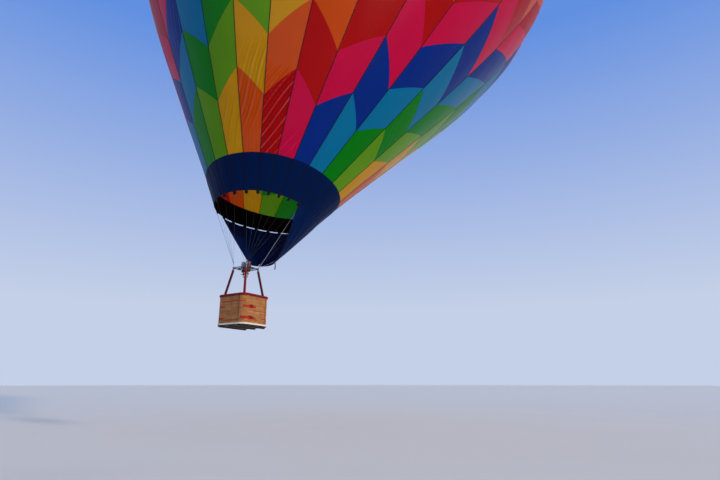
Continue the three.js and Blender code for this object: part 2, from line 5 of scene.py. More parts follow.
import bpy
import numpy as np
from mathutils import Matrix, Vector


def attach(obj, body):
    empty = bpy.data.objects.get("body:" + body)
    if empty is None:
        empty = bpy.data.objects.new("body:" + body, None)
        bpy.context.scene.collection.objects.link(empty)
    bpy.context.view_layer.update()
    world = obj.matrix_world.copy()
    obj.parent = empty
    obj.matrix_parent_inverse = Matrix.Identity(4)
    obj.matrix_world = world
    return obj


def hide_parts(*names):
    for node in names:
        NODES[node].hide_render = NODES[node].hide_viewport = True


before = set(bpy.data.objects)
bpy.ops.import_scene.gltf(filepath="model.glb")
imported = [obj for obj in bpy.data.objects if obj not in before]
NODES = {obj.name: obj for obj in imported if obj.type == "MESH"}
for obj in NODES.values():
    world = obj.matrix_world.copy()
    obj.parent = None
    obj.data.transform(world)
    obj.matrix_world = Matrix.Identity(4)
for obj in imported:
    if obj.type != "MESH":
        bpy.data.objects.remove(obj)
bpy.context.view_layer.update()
rng = np.random.default_rng(11)
PI = math.pi

# The CAD's own sizes, in metres. Envelope: its lean, the stations of its widest ring and mouth, its load tapes
LEAN, EQUATOR = math.radians(17.65), 17.75
MOUTH, MOUTH_RADIUS = 2.16, 1.587
GORES = 24
STEP, FIRST_TAPE = 2 * PI / GORES, math.radians(-123.75)
TIP_BACK = math.radians(7.3)
TAPES = [FIRST_TAPE + k * STEP for k in range(GORES)]
# Gondola: from the middle of the load frame, which is SHIFT away from the part's origin
SHIFT = np.array([0.146, 0.063 + EQUATOR * math.sin(LEAN), EQUATOR * math.cos(LEAN)])
RIM_Z, BOTTOM = -0.945, -1.868
HALF, CORNER, WALL = 0.58, 0.20, 0.032
POST, POST_TOP, FOOT, FOOT_Z = 0.278, -0.0760, 0.425, -0.9240
BURNER_X, VALVE_TOP, CYLINDER_AT = 0.1, -0.1503, 0.385
CORNERS = [(-1, -1), (1, -1), (1, 1), (-1, 1)]


def env(p):
    """Envelope coordinates (station along the axis as z) to the part's."""
    p = np.asarray(p, float)
    x, y, s = p[..., 0], p[..., 1], p[..., 2] - EQUATOR
    c, w = math.cos(LEAN), math.sin(LEAN)
    return np.stack([x, y * c + s * w, s * c - y * w], -1)


def share(value, start, end):
    """How far a value has come from start to end, 0 to 1."""
    return np.clip((value - start) / (end - start), 0, 1)


def ring_point(radius, angle, station):
    """Point round the envelope's axis, its ring tipped back near the mouth and pulled out of round by the wires."""
    radius, angle, station = np.broadcast_arrays(np.asarray(radius, float), angle, station)
    tip = math.tan(TIP_BACK) * share(station, 15.0, MOUTH) ** 1.5
    pull = np.where(station < MOUTH, share(station, 0.385, MOUTH), share(station, 8.0, MOUTH) ** 1.5)
    pulled = radius + pull * (-0.173 * np.cos(angle) + 0.108 * np.sin(angle) + 0.134 * np.sin(2 * angle))
    y = pulled * np.sin(angle)
    return env(np.stack([pulled * np.cos(angle), y, station + tip * y - pull * 0.073 * np.sin(2 * angle)], -1))


def gon(p):
    """Gondola coordinates (from the middle of the load frame) to the part's."""
    return np.asarray(p, float) - SHIFT


# Meshes
def around(count):
    """Evenly spaced angles over a full turn."""
    return np.arange(count) * 2 * PI / count


def quads(rows, columns, wrap_rows=False, wrap_columns=False):
    """Faces of a grid of rows x columns points, stored row by row."""
    r, c = np.arange(rows - (not wrap_rows)), np.arange(columns - (not wrap_columns))
    a, b = (index.ravel() for index in np.meshgrid(r, c, indexing="ij"))
    row, next_row, next_b = a * columns, (a + 1) % rows * columns, (b + 1) % columns
    return np.stack([row + b, row + next_b, next_row + next_b, next_row + b], -1)


def frames(path, closed):
    """Unit tangents and a steady pair of normals along a path."""
    path = np.asarray(path, float)
    if closed:
        tangent = np.roll(path, -1, 0) - np.roll(path, 1, 0)
    else:
        tangent = np.gradient(path, axis=0)
    tangent /= np.linalg.norm(tangent, axis=1, keepdims=True)
    normal = np.zeros_like(path)
    start = np.array([0, 0, 1.0]) if abs(tangent[0][2]) < 0.9 else np.array([1.0, 0, 0])
    last = start - tangent[0] * (start @ tangent[0])
    for i, t in enumerate(tangent):
        last = last - t * (last @ t)
        last /= np.linalg.norm(last)
        normal[i] = last
    return tangent, normal, np.cross(tangent, normal)


class Shape:
    """Vertices and faces of one piece, gathered from several shells."""

    def __init__(self):
        self.v, self.f, self.m, self.tone, self.n = [], [], [], [], 0

    def add(self, v, f, material=0, tone=0.5):
        v = np.asarray(v, float).reshape(-1, 3)
        start = self.n
        self.v.append(v)
        self.tone.append(np.broadcast_to(np.ravel(tone), (len(v),)))
        self.n += len(v)
        return self.face(f, material, start)

    def face(self, f, material=0, start=0):
        """More faces, their vertices counted from start."""
        self.f.append(np.asarray(f, int) + start)
        self.m.append(np.broadcast_to(material, (len(f),)))
        return self

    def tube(self, path, radius, sides=8, closed=False, material=0, tone=0.5):
        """A round tube along a path, its open ends capped."""
        path = np.asarray(path, float)
        _, normal, side = frames(path, closed)
        radius = np.broadcast_to(np.asarray(radius, float), (len(path),))
        turn = around(sides)[:, None]
        ring = normal[:, None] * np.cos(turn) + side[:, None] * np.sin(turn)
        v = (path[:, None] + ring * radius[:, None, None]).reshape(-1, 3)
        start, count = self.n, len(v)
        faces = quads(len(path), sides, closed, True)[:, ::-1]
        self.add(np.vstack([v, path[0], path[-1]]), faces, material, tone)
        if not closed:
            k = np.arange(sides)
            k2, last = (k + 1) % sides, count - sides
            self.face(np.stack([np.full(sides, count), k2, k], -1), material, start)
            self.face(np.stack([np.full(sides, count + 1), last + k, last + k2], -1), material, start)

    def turned(self, outline, centre=(0, 0, 0), sides=32, axis="z", material=0, flip=False, mirror=1):
        """A profile of (radius, height) in mm turned round an axis through a centre, its heights times mirror."""
        radius, height = np.asarray(outline, float).T[..., None] / 1000
        turn = around(sides)
        height = np.broadcast_to(mirror * height, (len(outline), sides))
        points = np.stack([radius * np.cos(turn), radius * np.sin(turn), height], -1)
        points = np.roll(points, "zxy".index(axis), -1).reshape(-1, 3) + np.asarray(centre)
        faces = quads(len(outline), sides, False, True)
        self.add(points, faces[:, ::-1] if flip != (mirror < 0) else faces, material)

    def block(self, size, centre, bevel=0.003, material=0, turn=0.0):
        """A box with chamfered edges, optionally turned about Z. Vertex (axis, corner) lies on the face across
        the axis, beside the corner."""
        half = np.asarray(size, float) / 2
        bevel = min(bevel, half.min() * 0.6)
        signs = np.array([(x, y, z) for x in (-1, 1) for y in (-1, 1) for z in (-1, 1)])
        points = np.concatenate([signs * (half - bevel * (np.arange(3) != axis)) for axis in range(3)])

        def at(axis, corner):
            return axis * 8 + sum((corner[k] > 0) << (2 - k) for k in range(3))

        def outward(face):
            a, b, c = points[face[:3]]
            return face if np.cross(b - a, c - a) @ (a + b + c) > 0 else face[::-1]

        fours, threes = [], [[at(axis, corner) for axis in range(3)] for corner in signs]
        for axis in range(3):
            i, j = (axis + 1) % 3, (axis + 2) % 3
            for sign in (-1, 1):
                fours.append([at(axis, {axis: sign, i: di, j: dj}) for di, dj in CORNERS])
                for other in (-1, 1):
                    low, high = ({axis: along, i: sign, j: other} for along in (-1, 1))
                    fours.append([at(i, low), at(j, low), at(j, high), at(i, high)])
        c, w = math.cos(turn), math.sin(turn)
        placed = points @ np.array([[c, w, 0], [-w, c, 0], [0, 0, 1]]) + np.asarray(centre)
        start = self.n
        self.add(placed, [outward(face) for face in fours], material)
        self.face([outward(face) for face in threes], material, start)

    def build(self, name, materials, replaces=None, slot=None, body="balloon", angle=None):
        """The piece as a mesh object: it rides a body, and may stand in for a CAD node. Its slot is not used."""
        v = np.concatenate(self.v)
        mesh = bpy.data.meshes.new(name)
        faces = [q for f in self.f for q in f.tolist()]
        mesh.from_pydata(v.tolist(), [], faces)
        for m in materials:
            mesh.materials.append(m)
        mesh.polygons.foreach_set("material_index", np.concatenate(self.m).astype(np.int32))
        mesh.polygons.foreach_set("use_smooth", np.ones(len(faces), bool))
        # Per-vertex tone: on the cloth folds and the wicker it also carries painted light and shade
        tone = mesh.attributes.new("tone", "FLOAT", "POINT")
        tone.data.foreach_set("value", np.concatenate(self.tone).astype(np.float32))
        obj = bpy.data.objects.new(name, mesh)
        bpy.context.scene.collection.objects.link(obj)
        if angle is not None:
            mesh.set_sharp_from_angle(angle=math.radians(angle))
        if body:
            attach(obj, body)
        if replaces:
            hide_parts(replaces)
        return obj


def circle(radius, count, centre):
    a = around(count)
    return np.stack([radius * np.cos(a), radius * np.sin(a), np.zeros(count)], -1) + np.asarray(centre)


def line(a, b, count=2):
    return np.linspace(np.asarray(a, float), np.asarray(b, float), count)


def smooth_path(points, count, closed=False):
    """A Catmull-Rom curve through the points."""
    p = np.asarray(points, float)
    spans = len(p) if closed else len(p) - 1
    run = np.linspace(0, spans, count, endpoint=not closed)
    at = np.minimum(run.astype(int), spans - 1)
    t = (run - at)[:, None]
    pick = [(at + k) % len(p) if closed else np.clip(at + k, 0, spans) for k in (-1, 0, 1, 2)]
    a, b, c, d = (p[index] for index in pick)
    return 0.5 * (2 * b + (c - a) * t + (2 * a - 5 * b + 4 * c - d) * t**2 + (3 * b - a - 3 * c + d) * t**3)


# Materials
def srgb(*c):
    c = np.array(c, float) / 255
    return tuple(np.where(c <= 0.04045, c / 12.92, ((c + 0.055) / 1.055) ** 2.4).tolist()) + (1.0,)


def tint(colour, scale, lift=0.0):
    """The colour with its channels scaled and lifted, up to white."""
    return tuple(min(1, lift + c * scale) for c in colour[:3]) + (1.0,)


class Paint:
    """A node material, its nodes made and linked in single calls."""

    def __init__(self, name, roughness=0.5, metallic=0.0, **sockets):
        self.material = bpy.data.materials.new("balloon_" + name)
        self.material.use_nodes = True
        self.tree = self.material.node_tree
        self.shader = self.tree.nodes["Principled BSDF"]
        self.output = self.tree.nodes["Material Output"]
        self.shader.inputs["Roughness"].default_value = roughness
        self.shader.inputs["Metallic"].default_value = metallic
        for k, v in sockets.items():
            self.shader.inputs[k.replace("_", " ")].default_value = v
        self.object, self.bumps = self.add("TexCoord").outputs["Object"], None

    def put(self, socket, value):
        if isinstance(value, bpy.types.NodeSocket):
            self.tree.links.new(value, socket)
        else:
            socket.default_value = value

    def add(self, kind, inputs=(), **settings):
        node = self.tree.nodes.new("ShaderNode" + kind)
        for k, v in settings.items():
            setattr(node, k, v)
        for k, v in dict(inputs).items():
            self.put(node.inputs[k], v)
        return node

    def math(self, operation, a, b):
        return self.add("Math", {0: a, 1: b}, operation=operation).outputs[0]

    def map(self, value, low, high, to_low=0.0, to_high=1.0):
        ends = {"From Min": low, "From Max": high, "To Min": to_low, "To Max": to_high}
        return self.add("MapRange", {"Value": value, **ends}).outputs[0]

    def mix(self, factor, a, b):
        return self.add("Mix", {0: factor, 6: a, 7: b}, data_type="RGBA").outputs[2]

    def noise(self, scale, detail, roughness=0.5, vector=None, distortion=0.0):
        node = self.add("TexNoise", {"Vector": vector or self.object, "Scale": scale, "Detail": detail,
                                     "Roughness": roughness, "Distortion": distortion})
        return node.outputs["Fac"]

    def wave(self, scale, direction, vector=None, distortion=0.0, detail_scale=1.0):
        node = self.add("TexWave", {"Vector": vector or self.object, "Scale": scale, "Distortion": distortion,
                                    "Detail Scale": detail_scale}, bands_direction=direction)
        return node.outputs["Fac"]

    def stretch(self, *scales):
        return self.add("VectorMath", {0: self.object, 1: scales}, operation="MULTIPLY").outputs[0]

    def attribute(self, name):
        return self.add("Attribute", attribute_name=name).outputs["Fac"]

    def uv(self, name):
        split = self.add("SeparateXYZ", {0: self.add("UVMap", uv_map=name).outputs[0]})
        return split.outputs[0], split.outputs[1]

    def bump(self, height, distance, strength):
        """A bump, laid over those already there."""
        node = self.add("Bump", {"Height": height, "Distance": distance, "Strength": strength})
        if self.bumps:
            self.put(node.inputs["Normal"], self.bumps)
        self.bumps = node.outputs[0]
        self.put(self.shader.inputs["Normal"], self.bumps)

    def colour(self, value):
        self.put(self.shader.inputs["Base Color"], value)

    def rough(self, pattern, low, high, smooth, rough):
        self.put(self.shader.inputs["Roughness"], self.map(pattern, low, high, smooth, rough))

    def shade(self, colour, amount, scale, detail=4):
        """The colour, lighter and darker in soft patches."""
        return self.mix(self.noise(scale, detail), tint(colour, 1 - amount), tint(colour, 1 + amount))


def cloth(name, colour, through=0.45, roughness=0.38, seams=True, gloss=0.11, haze=0.0):
    """Coated ripstop nylon: light comes through it, seams and tapes pucker it."""
    p = Paint(name, roughness, Specular_IOR_Level=gloss, Sheen_Weight=haze, Sheen_Roughness=0.35)
    base = p.shade(colour, 0.07, 1.3, 5)
    if seams:
        across, up = p.uv("seam")
        seam = p.math("MAXIMUM", p.map(up, 0.016, 0.02, 1.0, 0.0), p.map(across, 0.022, 0.028, 1.0, 0.0))
        base = p.mix(p.math("MULTIPLY", seam, 0.22), base, tint(colour, 0.35))
        along = p.add("UVMap", uv_map="cloth").outputs[0]
        pucker = p.wave(3.6, "Y", along, 2.2, 1.6)
        near = p.math("POWER", p.map(across, 0.0, 0.16, 1.0, 0.0), 2.0)
        p.bump(p.math("MULTIPLY", pucker, near), 0.012, 0.6)
        # Painted highlight on the fold ridges and painted shade in their hollows, from the per-vertex tone
        tone = p.attribute("tone")
        base = p.mix(p.map(tone, 0.5, 0.9, 0.0, 0.6), base, tint(colour, 0.75, 0.25))
        base = p.mix(p.map(tone, 0.5, 0.0, 0.0, 0.45), base, tint(colour, 0.3))
    p.bump(p.noise(7.0, 4, 0.55), 0.010, 0.35)
    p.colour(base)
    glow = p.add("BsdfTranslucent", {"Color": base, "Normal": p.bumps})
    both = p.add("MixShader", {0: through, 1: p.shader.outputs[0], 2: glow.outputs[0]})
    p.put(p.output.inputs["Surface"], both.outputs[0])
    return p.material


def webbing(name, colour):
    p = Paint(name, 0.75, Specular_IOR_Level=0.15)
    rib = p.wave(60, "DIAGONAL", distortion=0.3)
    p.colour(p.mix(rib, tint(colour, 0.7), p.shade(colour, 0.15, 40)))
    p.bump(rib, 0.0008, 0.6)
    return p.material


def metal(name, colour, roughness=0.32, brushed=(1, 1, 12), wear=None, metallic=1.0):
    p = Paint(name, roughness, metallic)
    base = p.shade(colour, 0.12, 18, 5)
    if wear:
        base = p.mix(p.map(p.noise(26, 6, 0.7), 0.52, 0.68), base, wear)
    p.colour(base)
    grain = p.noise(90, 2, 0.5, p.stretch(*brushed))
    p.rough(grain, 0.2, 0.8, roughness - 0.09, roughness + 0.13)
    p.bump(grain, 0.0004, 0.35)
    return p.material


def leather(name, colour, scale=160, roughness=0.5, worn=None, gloss=0.5):
    p = Paint(name, roughness, Specular_IOR_Level=gloss)
    voronoi = p.add("TexVoronoi", {"Vector": p.object, "Scale": scale}, feature="DISTANCE_TO_EDGE")
    base = p.shade(colour, 0.2, 9, 5)
    if worn:
        base = p.mix(p.map(p.noise(14, 5, 0.65), 0.52, 0.75, 0.0, 0.7), base, worn)
    p.colour(base)
    p.rough(p.noise(22, 4), 0.3, 0.7, roughness - 0.1, roughness + 0.15)
    p.bump(p.map(voronoi.outputs["Distance"], 0.0, 0.25), 0.0006, 0.5)
    p.bump(p.noise(20, 4), 0.004, 0.35)
    return p.material


def wood(name, colour, dark):
    """Boards with their grain along Y."""
    p = Paint(name, 0.6)
    along = p.stretch(1, 0.12, 1)
    grain = p.noise(60, 6, 0.65, along, 1.2)
    rings = p.wave(16.0, "X", along, 6.0, 1.5)
    p.colour(p.mix(p.math("MULTIPLY", p.math("ADD", grain, rings), 0.5), dark, colour))
    p.rough(grain, 0.3, 0.7, 0.48, 0.75)
    p.bump(grain, 0.0012, 0.5)
    return p.material


RAINBOW = {
    "crimson_cloth": srgb(222, 4, 74), "blue_cloth": srgb(0, 48, 148), "cerulean_cloth": srgb(0, 128, 178),
    "green_cloth": srgb(0, 140, 14), "lime_cloth": srgb(104, 170, 4), "yellow_cloth": srgb(226, 164, 2),
    "orange_cloth": srgb(226, 84, 4), "red_cloth": srgb(194, 0, 3),
}
# The colours climb one gore per panel, from this one at the first gore's foot
FIRST_COLOUR, COLOUR_NAMES = 3, list(RAINBOW)
CLOTHS = [cloth(n, c, haze=0.2) for n, c in RAINBOW.items()]
NAVY = cloth("navy_cloth", srgb(0, 23, 66), 0.12, 0.45, gloss=0.04)
# Painted shade: a near-black sheet inside the mouth band, where its inside lies in shade
INNER_SHADE = cloth("inner_painted_shade", srgb(6, 8, 14), 0.03, 0.7, gloss=0.03)
WHITE = cloth("white_cloth", srgb(232, 230, 222), 0.3, 0.5, seams=False)
TAPE = webbing("load_tape", srgb(4, 10, 30))
STRAP = webbing("strap", srgb(12, 14, 24))
STEEL = metal("wire_steel", srgb(176, 180, 186), 0.34)
FRAME_METAL = metal("frame_metal", srgb(112, 114, 122), 0.40, wear=srgb(96, 98, 104))
DARK_METAL = metal("dark_metal", srgb(46, 48, 54), 0.45, wear=srgb(92, 90, 88), metallic=0.8)
CAN_STEEL = metal("can_stainless", srgb(150, 152, 158), 0.3, (14, 14, 1), wear=srgb(110, 98, 92))
CAN_COPPER = metal("can_heat_tinted", srgb(146, 108, 96), 0.32, (14, 14, 1), wear=srgb(96, 74, 84))
COPPER = metal("coil_copper", srgb(130, 94, 78), 0.38, wear=srgb(80, 60, 56))
BRASS = metal("brass", srgb(190, 150, 84), 0.32, wear=srgb(120, 96, 60))
ALLOY = metal("alloy", srgb(188, 190, 192), 0.38, (1, 1, 16))
RED_LEATHER = leather("red_leather", srgb(122, 8, 14), 150, 0.52, srgb(92, 6, 12), 0.2)
# Painted light: one sleeve leather in a shaded copy for three uprights and a lit copy for the front one
SHADED_POST_LEATHER = leather("upright_leather", srgb(70, 2, 12), 170, 0.55, srgb(52, 2, 12), 0.2)
LIT_FRONT_LEATHER = leather("front_upright_lit_leather", srgb(126, 6, 14), 170, 0.55, srgb(92, 4, 14), 0.2)
STRAP_RED = leather("red_strap", srgb(160, 30, 20), 150, 0.6, gloss=0.2)
HIDE = leather("rawhide", srgb(226, 214, 190), 60, 0.55, srgb(196, 178, 146))
INSIDE = leather("inside_suede", srgb(86, 58, 38), 220, 0.8, gloss=0.2)
LACE = leather("dark_lace", srgb(58, 34, 22), 300, 0.7, gloss=0.2)
# Painted shade for the hide band's lower edge
PAINTED_SHADE_HIDE = leather("shaded_edge_hide", srgb(34, 24, 18), 80, 0.7, gloss=0.2)
THREAD = leather("thread", srgb(205, 190, 160), 400, 0.7)
RED_KNOB = leather("red_knob", srgb(190, 20, 20), 300, 0.35)
JACKET = leather("tank_jacket", srgb(40, 30, 32), 260, 0.7, gloss=0.2)
RUBBER = leather("hose_rubber", srgb(22, 22, 24), 300, 0.6, gloss=0.3)
# Painted shade: dark discs that stand for the burner cans' air holes
HOLE_SHADE = metal("painted_hole_shade", srgb(24, 22, 22), 0.7, metallic=0.2)
CORD = webbing("pale_cord", srgb(176, 178, 184))
WIRE_ROPE = metal("wire_rope", srgb(78, 82, 90), 0.5)
PLYWOOD = wood("plywood", srgb(84, 62, 42), srgb(48, 34, 22))
HARDWOOD = wood("hardwood", srgb(58, 38, 24), srgb(28, 17, 11))


def wicker(name, light, mid, dark):
    """Willow rods: each its own tone, streaked along, with painted shade in the crevices."""
    p = Paint(name, 0.5, Specular_IOR_Level=0.4)
    tone = p.attribute("tone")
    streak = p.noise(110, 4, 0.6)
    base = p.mix(p.map(tone, 0.1, 0.9), dark, light)
    base = p.mix(p.map(streak, 0.35, 0.75, 0.0, 0.65), base, mid)
    base = p.mix(p.map(p.noise(5, 4), 0.45, 0.7, 0.0, 0.45), base, dark)
    p.colour(base)
    p.rough(streak, 0.3, 0.7, 0.38, 0.62)
    p.bump(streak, 0.0012, 0.6)
    return p.material


WILLOW = wicker("willow", srgb(236, 174, 106), srgb(212, 138, 74), srgb(150, 92, 48))
RED_CANE = wicker("red_cane", srgb(226, 44, 28), srgb(206, 32, 24), srgb(150, 18, 18))

# Envelope outline: the run is 0 at the mouth, 1 at the widest ring and 2 at the crown
WIDEST, DOME = 10.04, 7.5
RUN = np.linspace(0, 2, 8001)


def envelope_outline():
    """Station and radius along the run: a Bezier curve up to the widest ring, an ellipse over it."""
    u = np.clip(RUN, 0, 1)
    slope, low_pull, high_pull = 0.561, 1.744, 3.864
    ends = [(MOUTH, MOUTH_RADIUS), (MOUTH + low_pull, MOUTH_RADIUS + slope * low_pull),
            (EQUATOR - high_pull, WIDEST), (EQUATOR, WIDEST)]
    weights = np.stack([(1 - u) ** 3, 3 * u * (1 - u) ** 2, 3 * u**2 * (1 - u), u**3], -1)
    station, radius = (weights @ np.array(ends)).T
    turn = (np.clip(RUN, 1, 2) - 1) * PI / 2
    below = RUN <= 1
    return np.where(below, station, EQUATOR + DOME * np.sin(turn)), np.where(below, radius, WIDEST * np.cos(turn))


T_STATION, T_RADIUS = envelope_outline()
T_ARC = np.concatenate([[0], np.cumsum(np.hypot(np.diff(T_STATION), np.diff(T_RADIUS)))])
RISE, SPREAD = np.gradient(T_STATION, T_ARC), np.gradient(T_RADIUS, T_ARC)


def arc_at_station(station):
    return float(np.interp(station, T_STATION, T_ARC))


def arc_at_radius(radius):
    """Arc length where the dome has this radius."""
    dome = RUN >= 1
    return np.interp(-radius, -T_RADIUS[dome], T_ARC[dome])


def radius_at(arc):
    return np.interp(arc, T_ARC, T_RADIUS)


def skin(arc, angle, out=0.0):
    """Point on the envelope at an arc length, an angle and a distance outwards."""
    arc, angle, out = np.broadcast_arrays(np.asarray(arc, float), angle, out)
    rise, spread = np.interp(arc, T_ARC, RISE), np.interp(arc, T_ARC, SPREAD)
    return ring_point(radius_at(arc) + rise * out, angle, np.interp(arc, T_ARC, T_STATION) - spread * out)


BAND_ARC = arc_at_station(3.30)
TOP_ARC = float(arc_at_radius(2.6))


# Gores: panels whose edges climb and fall from tape to tape
def panel_edges():
    """Arc lengths of the panel seams where they are lowest and highest."""
    low = [arc_at_station(s) for s in (4.81, 6.34, 7.95, 9.70, 11.60)]
    high = [arc_at_station(s) for s in (5.59, 7.41, 9.59, 11.72)]
    while low[-1] + 3.6 < TOP_ARC:
        low.append(low[-1] + 2.0)
    for a in low[len(high):]:
        width = STEP * float(radius_at(a + 1))
        high.append(min(a + 1.1 * width, TOP_ARC - 0.5))
    return np.array(low), np.array(high)


LOW, HIGH = panel_edges()
COLUMNS, FINE_ROWS, COARSE_ROWS, FINE_BELOW = 32, 36, 10, 8.5


def bulge(arc, u):
    """How far a gore swells out between its load tapes, more where the pressure is higher."""
    run, low, high = (np.interp(a, T_ARC, RUN) for a in (arc, BAND_ARC, TOP_ARC))
    swell = share(run, low, 1) ** 1.5 * share(run, high, high - 0.2)
    return 0.055 * radius_at(arc) * STEP * swell * (1 - np.abs(u) ** 2.2)


# The seam at the band's top holds every fold flat for this length
SEAM_HOLD = 0.15

# Diagonal tension folds: (gore, arc from, arc to, depth, slope)
FOLDS = [(4, 0.7, 4.2, 0.026, 0.65), (3, 2.0, 5.0, 0.018, 0.34), (2, 1.0, 3.6, 0.007, 0.32),
         (5, 0.9, 2.4, 0.007, 0.65), (0, 5.2, 8.0, 0.008, 0.25), (23, 5.6, 9.0, 0.010, 0.22),
         (9, 3.0, 5.2, 0.007, -0.7), (11, 2.0, 4.5, 0.010, -0.8), (16, 2.2, 5.0, 0.011, 0.7),
         (17, 1.6, 3.8, 0.009, 0.8), (21, 2.4, 5.6, 0.010, -0.75)]


def crease(run, period):
    """A row of folds, sharp along their ridges."""
    return 1 - 2 * np.abs(np.sin(PI * run / period)) ** 0.8


def folds(index, arc, across, phase):
    """Height of a gore's small folds, gathers above the band and diagonal tension folds, and a painted highlight on the
    tension folds' ridges with painted shade in their hollows.
    """
    height, tone = np.zeros_like(arc), np.full_like(arc, 0.5)
    for gore, a, b, depth, slope in FOLDS:
        if gore != index:
            continue
        mask = share(arc, a, a + 0.8) * share(arc, b, b - 0.9)
        run = across - slope * arc + 0.05 * np.sin(arc * 2.1 + phase)
        strength = 0.7 + 0.3 * np.sin(arc * 1.7 + across * 3.1 + phase)
        fold = mask * strength * (0.7 * crease(run, 0.145) + 0.5 * crease(run + 0.06, 0.31))
        height += depth * fold
        # Painted light: lighter on the fold ridges, darker in the hollows
        tone += 18 * depth * np.clip(fold + 0.1, -1, 1)
    gather = np.exp(-(arc - BAND_ARC) / 0.5)
    height += 0.004 * gather * np.sin(2 * PI * across / 0.13 + phase)
    wide = 0.004 * np.sin(across * 5.3 + arc * 1.1 + phase) * np.sin(arc * 2.3 + phase * 1.7)
    return (height + wide) * share(arc, BAND_ARC, BAND_ARC + SEAM_HOLD), np.clip(tone, 0, 1)


def add_uv(obj, name, u, v, low=0.0):
    """A UV layer from values at the vertices, with low taken off v at each face corner."""
    corner = np.zeros(len(obj.data.loops), np.int32)
    obj.data.loops.foreach_get("vertex_index", corner)
    values = np.stack([np.ravel(u)[corner], np.ravel(v)[corner] - low], -1)
    obj.data.uv_layers.new(name=name).data.foreach_set("uv", values.astype(np.float32).ravel())


def gore(index):
    """One gore's cloth: panels that climb and fall by turns, from the band to the vent opening."""
    u = np.linspace(-1, 1, COLUMNS + 1)
    climb = (u + 1) / 2 if index % 2 == 0 else (1 - u) / 2
    edges = [np.full_like(u, BAND_ARC + 0.002)]
    edges += [low + (high - low) * climb for low, high in zip(LOW, HIGH)]
    edges.append(np.full_like(u, TOP_ARC))
    rows, panel = [], []
    creased = index in [fold[0] for fold in FOLDS]
    for k in range(len(edges) - 1):
        count = FINE_ROWS if creased and edges[k].max() < FINE_BELOW else COARSE_ROWS
        rows += [edges[k] + (edges[k + 1] - edges[k]) * r / count for r in range(count)]
        panel += [k] * count
    arc = np.array(rows + edges[-1:])
    u = np.broadcast_to(u, arc.shape)
    radius = radius_at(arc)
    across = u * radius * STEP / 2
    fold, tone = folds(index, arc, across, index * 1.7)
    out = bulge(arc, u) - 0.004 + fold * (1 - np.abs(u) ** 6)
    angle = FIRST_TAPE + (index + 0.5) * STEP + u * (STEP / 2 - 0.0012 / radius)
    colours = (FIRST_COLOUR + index - np.repeat(panel, COLUMNS)) % len(CLOTHS)
    shape = Shape().add(skin(arc, angle, out), quads(len(arc), COLUMNS + 1), colours, tone)
    slot = COLOUR_NAMES[(FIRST_COLOUR + index) % len(CLOTHS)]
    obj = shape.build(f"gore_cloth_{index + 1:02d}", CLOTHS, f"gore_{index + 1:02d}", slot)
    add_uv(obj, "cloth", across, arc)
    left = np.arange(COLUMNS)
    lower = np.array(edges)[panel][:, np.stack([left, left + 1, left + 1, left], -1)].ravel()
    add_uv(obj, "seam", radius * STEP / 2 * (1 - np.abs(u)), arc, lower)


# Across a tape: place in widths, height in lifts
TAPE_SECTION = ((-0.5, 0.0), (-0.46, 1.0), (0, 1.15), (0.46, 1.0), (0.5, 0.0))


def add_tape(shape, angle, arcs, width, base, lift):
    """A flat tape with turned-down edges, laid along the envelope over the arcs."""
    radius = radius_at(arcs)
    grid = [skin(arcs, angle + width * place / radius, base + lift * up) for place, up in TAPE_SECTION]
    faces = quads(len(arcs), len(TAPE_SECTION))
    shape.add(np.stack(grid, 1), faces if lift > 0 else faces[:, ::-1])


def load_tapes():
    shape = Shape()
    for angle in TAPES:
        add_tape(shape, angle, np.linspace(0.0, TOP_ARC - 0.02, 240), 0.020, 0.001, 0.0030)
    shape.build("load_tapes", [TAPE], slot="webbing")


load_tapes()
for i in range(GORES):
    gore(i)

# Mouth band: navy outside, a near-black sheet inside that is painted shade, scalloped hem
HEM_RISE = arc_at_station(MOUTH + 0.095)
BAND_COLUMNS, BAND_ROWS = 384, 24
BAND_ANGLES = FIRST_TAPE + around(BAND_COLUMNS)


def gore_place(angle):
    """Number of the gore at an angle, and the place across it from 0 to 1."""
    turns = (np.asarray(angle) - FIRST_TAPE) / STEP
    return np.floor(turns + 1e-6), turns % 1


def hem_arc(angle):
    """Arc length of the scalloped hem, which comes down to the mouth at every tape."""
    return HEM_RISE * (1 - np.abs(2 * gore_place(angle)[1] - 1) ** 8)


def band_folds(arc, angle):
    """How far the band swells and puckers between its tapes."""
    number, place = gore_place(angle)
    u = 2 * place - 1
    across = u * radius_at(arc) * STEP / 2
    fade = (1 - np.abs(u) ** 6) * share(arc, BAND_ARC, BAND_ARC - SEAM_HOLD)
    soft = 0.005 * np.sin(2 * PI * across / 0.16 + 1.9 * number) * np.sin(1.2 + arc * 1.4 + number)
    fine = 0.003 * np.sin(2 * PI * across / 0.07 + 2.7 * number) * np.exp(-(BAND_ARC - arc) / 0.35)
    return fade * (soft + fine + 0.010 * (1 - u * u))


def band_layer(name, material, out, top, replaces=None):
    angle = np.broadcast_to(BAND_ANGLES, (BAND_ROWS + 1, BAND_COLUMNS))
    low = hem_arc(angle)
    arc = low + (top - low) * (np.arange(BAND_ROWS + 1) / BAND_ROWS)[:, None]
    points = skin(arc, angle, out + band_folds(arc, angle))
    shape = Shape().add(points, quads(BAND_ROWS + 1, BAND_COLUMNS, False, True))
    obj = shape.build(name, [material], replaces, "dark_cloth")
    radius, (_, place) = radius_at(arc), gore_place(angle)
    add_uv(obj, "cloth", angle * radius, arc)
    add_uv(obj, "seam", radius * STEP * np.minimum(place, 1 - place), arc - low)


